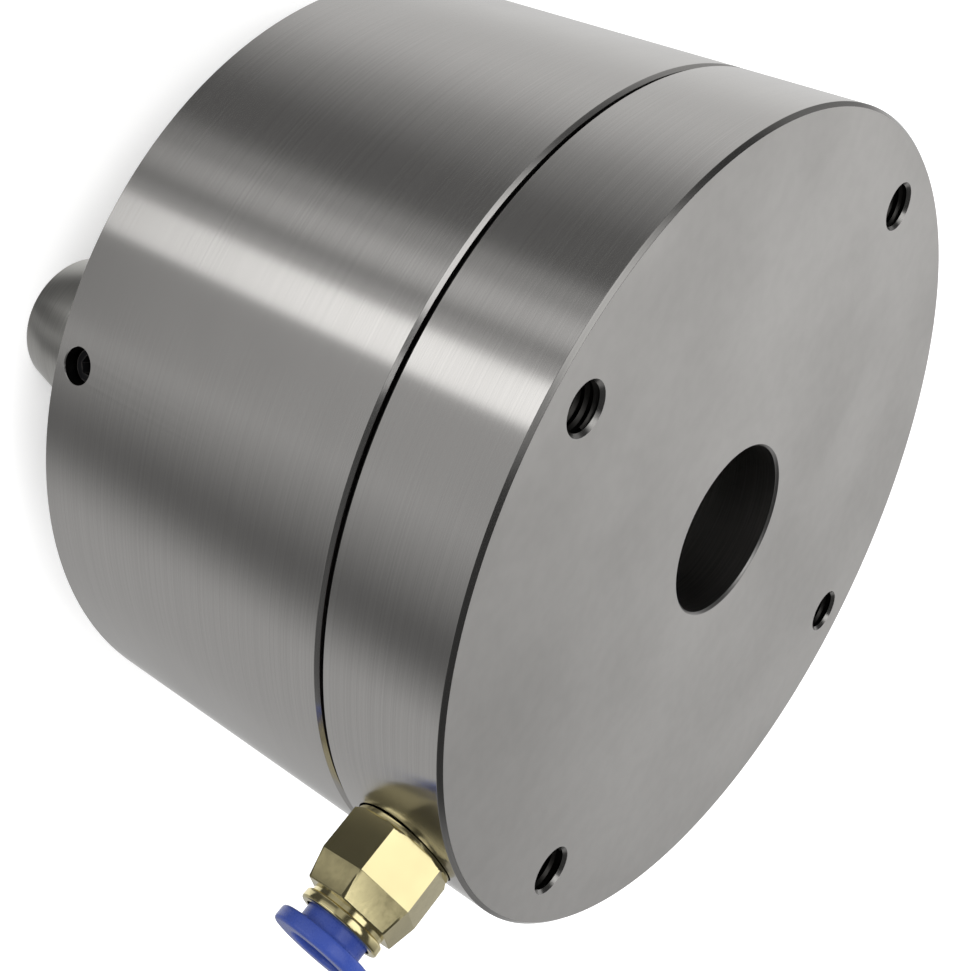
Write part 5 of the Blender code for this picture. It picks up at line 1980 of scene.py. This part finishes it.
@dataclass
class Studio:
    """Floor, lamps, white tent with its cards, and camera."""

    diffuse_light: float = 0.55
    floor_glow: float = 0.4
    floor_colour: tuple[float, float, float] = (0.9, 0.9, 0.9)
    floor_r: float = 1.5
    floor_sides: int = 96
    lamps: tuple[Lamp, ...] = (
        Lamp("key_lamp", (0.1, -0.9, 1.0), 0.8, 9.0),
        Lamp("fill_lamp", (-0.9, 0.3, 0.9), 0.9, 6.0),
        Lamp("back_lamp", (0.7, 0.9, 0.8), 0.8, 5.0),
    )
    lamps_aim: tuple[float, float, float] = (0.0, 0.0, 0.04)
    cards: tuple[Card, ...] = (
        Card(-95.0, 84.0, 3.0, 12.0, 0.42),
        Card(64.0, 82.0, 10.0, 12.0, 0.45),
        Card(-118.0, -103.0, 104.0, 17.0, 0.12),
        Card(-174.0, -162.0, 20.0, 24.0, 0.60),
        Card(130.0, 160.0, 15.0, 28.0, 0.74),
        Card(-91.0, -87.0, 4.0, 3.0, 0.58),
        Card(-82.5, -81.5, 2.0, 2.0, 0.26),
        Card(-74.0, -64.0, 2.5, 2.2, 1.3, low=-50.0),
        Card(-5.0, 3.0, 28.0, 16.0, 0.12),
        Card(-130.0, -34.0, 12.0, 8.0, 0.07, high=-51.0, height_fade=5.0),
        Card(-71.0, -66.0, 1.5, 1.5, 0.42, low=-67.0, high=-60.0, height_fade=2.0),
        Card(-180.0, 180.0, 1.0, 1.0, 0.07, low=4.0, high=90.0),
        Card(-180.0, 180.0, 1.0, 1.0, 0.34, low=4.0, high=19.0, height_fade=8.0),
        Card(122.0, 150.0, 40.0, 10.0, 0.70, low=12.0, high=62.0, height_fade=10.0),
        Card(-120.0, -98.0, 34.0, 56.0, 1.25, low=44.0, high=64.0, height_fade=6.0),
        Card(-128.0, -90.0, 5.0, 5.0, 1.25, low=60.0, high=80.0, height_fade=4.0),
        Card(-80.0, -38.0, 3.0, 3.0, 0.07, low=4.0, high=55.5, height_fade=1.5),
        Card(-80.0, -38.0, 3.0, 3.0, 0.07, low=64.0, high=90.0, height_fade=2.0),
        Card(-66.0, -56.0, 2.0, 2.0, 1.3, low=48.0, high=53.6, height_fade=1.0),
    )
    camera_place: tuple[float, float, float] = (0.07933, -0.14710, 0.13955)
    camera_right: tuple[float, float, float] = (-0.60636, 0.21645, 0.76517)
    camera_down: tuple[float, float, float] = (0.67876, 0.64218, 0.35622)
    lens: float = 57.39
    shift: tuple[float, float] = (-0.005, -0.099)
    clip: tuple[float, float] = (0.01, 20.0)

    def build(self) -> None:
        """Build the studio."""
        self.build_world()
        self.build_floor()
        self.build_lamps()
        self.build_camera()
        bpy.context.scene.view_settings.view_transform = "Standard"

    def build_world(self) -> None:
        """Plain light for diffuse rays, white for the camera and soft cards for gloss."""
        world = bpy.data.worlds.new("studio")
        bpy.context.scene.world = world
        world.use_nodes = True
        sheet = NodeSheet(world.node_tree)
        background = world.node_tree.nodes["Background"]
        direction = sheet.add("ShaderNodeTexCoord").outputs["Generated"]
        parts = sheet.add("ShaderNodeSeparateXYZ")
        sheet.put(direction, parts.inputs[0])
        x, y, z = parts.outputs
        azimuth = sheet.math("DEGREES", sheet.math("ARCTAN2", y, x))
        height = sheet.math("DEGREES", sheet.math("ARCSINE", z))
        group = self.card_group()
        tent: object = 1.0
        for card in self.cards:
            node = sheet.group(group, Behind=tent, Azimuth=azimuth, Height=height,
                               Start=card.start, Width=card.end - card.start,
                               Start_Fade=card.start_fade, End_Fade=card.end_fade,
                               Low=card.low, High=card.high, Height_Fade=card.height_fade,
                               Card_Light=card.light)
            tent = node.outputs["Light"]
        path = sheet.add("ShaderNodeLightPath").outputs
        plain = sheet.times(path["Is Diffuse Ray"], self.diffuse_light)
        gloss = sheet.times(path["Is Glossy Ray"], tent)
        seen = sheet.math("MAXIMUM", path["Is Camera Ray"], path["Is Transmission Ray"])
        strength = sheet.plus(seen, sheet.plus(plain, gloss))
        sheet.put(strength, background.inputs["Strength"])
        background.inputs["Color"].default_value = (1.0, 1.0, 1.0, 1.0)

    @staticmethod
    def card_group() -> bpy.types.NodeTree:
        """Node group that puts one card in front of what is behind it.

        Returns:
            The group.
        """
        names = ("Behind", "Azimuth", "Height", "Start", "Width", "Start Fade", "End Fade",
                 "Low", "High", "Height Fade", "Card Light")
        sheet, given, result = new_group("tent_card", {name: (FLOAT, 0.0) for name in names},
                                         {"Light": FLOAT})
        get = given.outputs
        half = sheet.times(get["Width"], 0.5)
        offset = sheet.minus(sheet.minus(get["Azimuth"], get["Start"]), half)
        fades = sheet.minus(get["End Fade"], get["Start Fade"])
        seam = sheet.plus(180.0, sheet.times(fades, 0.5))
        turned = sheet.math("FLOORED_MODULO", sheet.minus(offset, seam), 360.0)
        wrapped = sheet.plus(sheet.minus(turned, 360.0), seam)
        ahead = sheet.minus(sheet.times(wrapped, -1.0), half)
        before = sheet.math("DIVIDE", ahead, get["Start Fade"])
        after = sheet.math("DIVIDE", sheet.minus(wrapped, half), get["End Fade"])
        above = sheet.minus(get["Height"], get["High"])
        below = sheet.minus(get["Low"], get["Height"])
        beyond = sheet.math("DIVIDE", sheet.math("MAXIMUM", above, below), get["Height Fade"])
        across = sheet.math("SUBTRACT", 1.0, sheet.math("MAXIMUM", before, after), clamped=True)
        tall = sheet.math("SUBTRACT", 1.0, sheet.math("MAXIMUM", beyond, 0.0), clamped=True)
        cover = sheet.times(across, tall)
        step = sheet.minus(get["Card Light"], get["Behind"])
        light = sheet.plus(get["Behind"], sheet.times(cover, step))
        sheet.put(light, result.inputs["Light"])
        return sheet.tree

    def build_floor(self) -> None:
        """A pale floor that keeps the shadow and is clear from below."""
        shape = lathe([(0.0, 0.0), (self.floor_r, 0.0)], self.floor_sides, False)
        for face in shape.faces:
            if face.normal.z < 0.0:
                face.normal_flip()
        floor = link_mesh("studio_floor", shape)
        made = bpy.data.materials.new("pale_floor")
        made.use_nodes = True
        sheet = NodeSheet(made.node_tree)
        shader = made.node_tree.nodes["Principled BSDF"]
        shader.inputs["Base Color"].default_value = (*self.floor_colour, 1.0)
        shader.inputs["Roughness"].default_value = 1.0
        shader.inputs["Specular IOR Level"].default_value = 0.0
        shader.inputs["Emission Color"].default_value = (1.0, 1.0, 1.0, 1.0)
        path = sheet.add("ShaderNodeLightPath")
        glow = sheet.times(path.outputs["Is Camera Ray"], self.floor_glow)
        sheet.put(glow, shader.inputs["Emission Strength"])
        clear = sheet.add("ShaderNodeBsdfTransparent")
        mix = sheet.add("ShaderNodeMixShader")
        behind = sheet.add("ShaderNodeNewGeometry").outputs["Backfacing"]
        sheet.put(behind, mix.inputs[0])
        sheet.put(shader.outputs[0], mix.inputs[1])
        sheet.put(clear.outputs[0], mix.inputs[2])
        output = made.node_tree.nodes["Material Output"]
        sheet.put(mix.outputs[0], output.inputs["Surface"])
        floor.data.materials.append(made)
        floor.visible_glossy = False

    def build_lamps(self) -> None:
        """Soft lamps for the diffuse surfaces."""
        for lamp in self.lamps:
            data = bpy.data.lights.new(lamp.name, "AREA")
            data.shape = "DISK"
            data.size = lamp.size
            data.energy = lamp.power
            made = bpy.data.objects.new(lamp.name, data)
            bpy.context.scene.collection.objects.link(made)
            made.location = lamp.spot
            aim = Vector(self.lamps_aim) - Vector(lamp.spot)
            made.rotation_euler = aim.to_track_quat("-Z", "Y").to_euler()
            made.visible_glossy = False

    def build_camera(self) -> None:
        """The camera at the photograph's viewing angle."""
        data = bpy.data.cameras.new("camera")
        data.lens = self.lens
        data.shift_x, data.shift_y = self.shift
        data.clip_start, data.clip_end = self.clip
        camera = bpy.data.objects.new("camera", data)
        bpy.context.scene.collection.objects.link(camera)
        right = Vector(self.camera_right).normalized()
        up = -Vector(self.camera_down).normalized()
        turn = Matrix((right, up, right.cross(up))).transposed()
        camera.matrix_world = Matrix.Translation(self.camera_place) @ turn.to_4x4()
        bpy.context.scene.camera = camera


def main() -> None:
    """Dress the chuck and set up its studio."""
    logging.basicConfig(level=logging.INFO, format="%(name)s: %(message)s")
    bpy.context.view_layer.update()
    shop, sizes = Workshop(), Sizes()
    for part in (Housing(shop, sizes), BaseDisc(shop, sizes), BallLock(shop, sizes),
                 ChuckFace(shop, sizes), AirFitting(shop, sizes)):
        LOG.info("building %s", type(part).__name__)
        part.build()
    Studio().build()


if __name__ == "__main__":
    main()
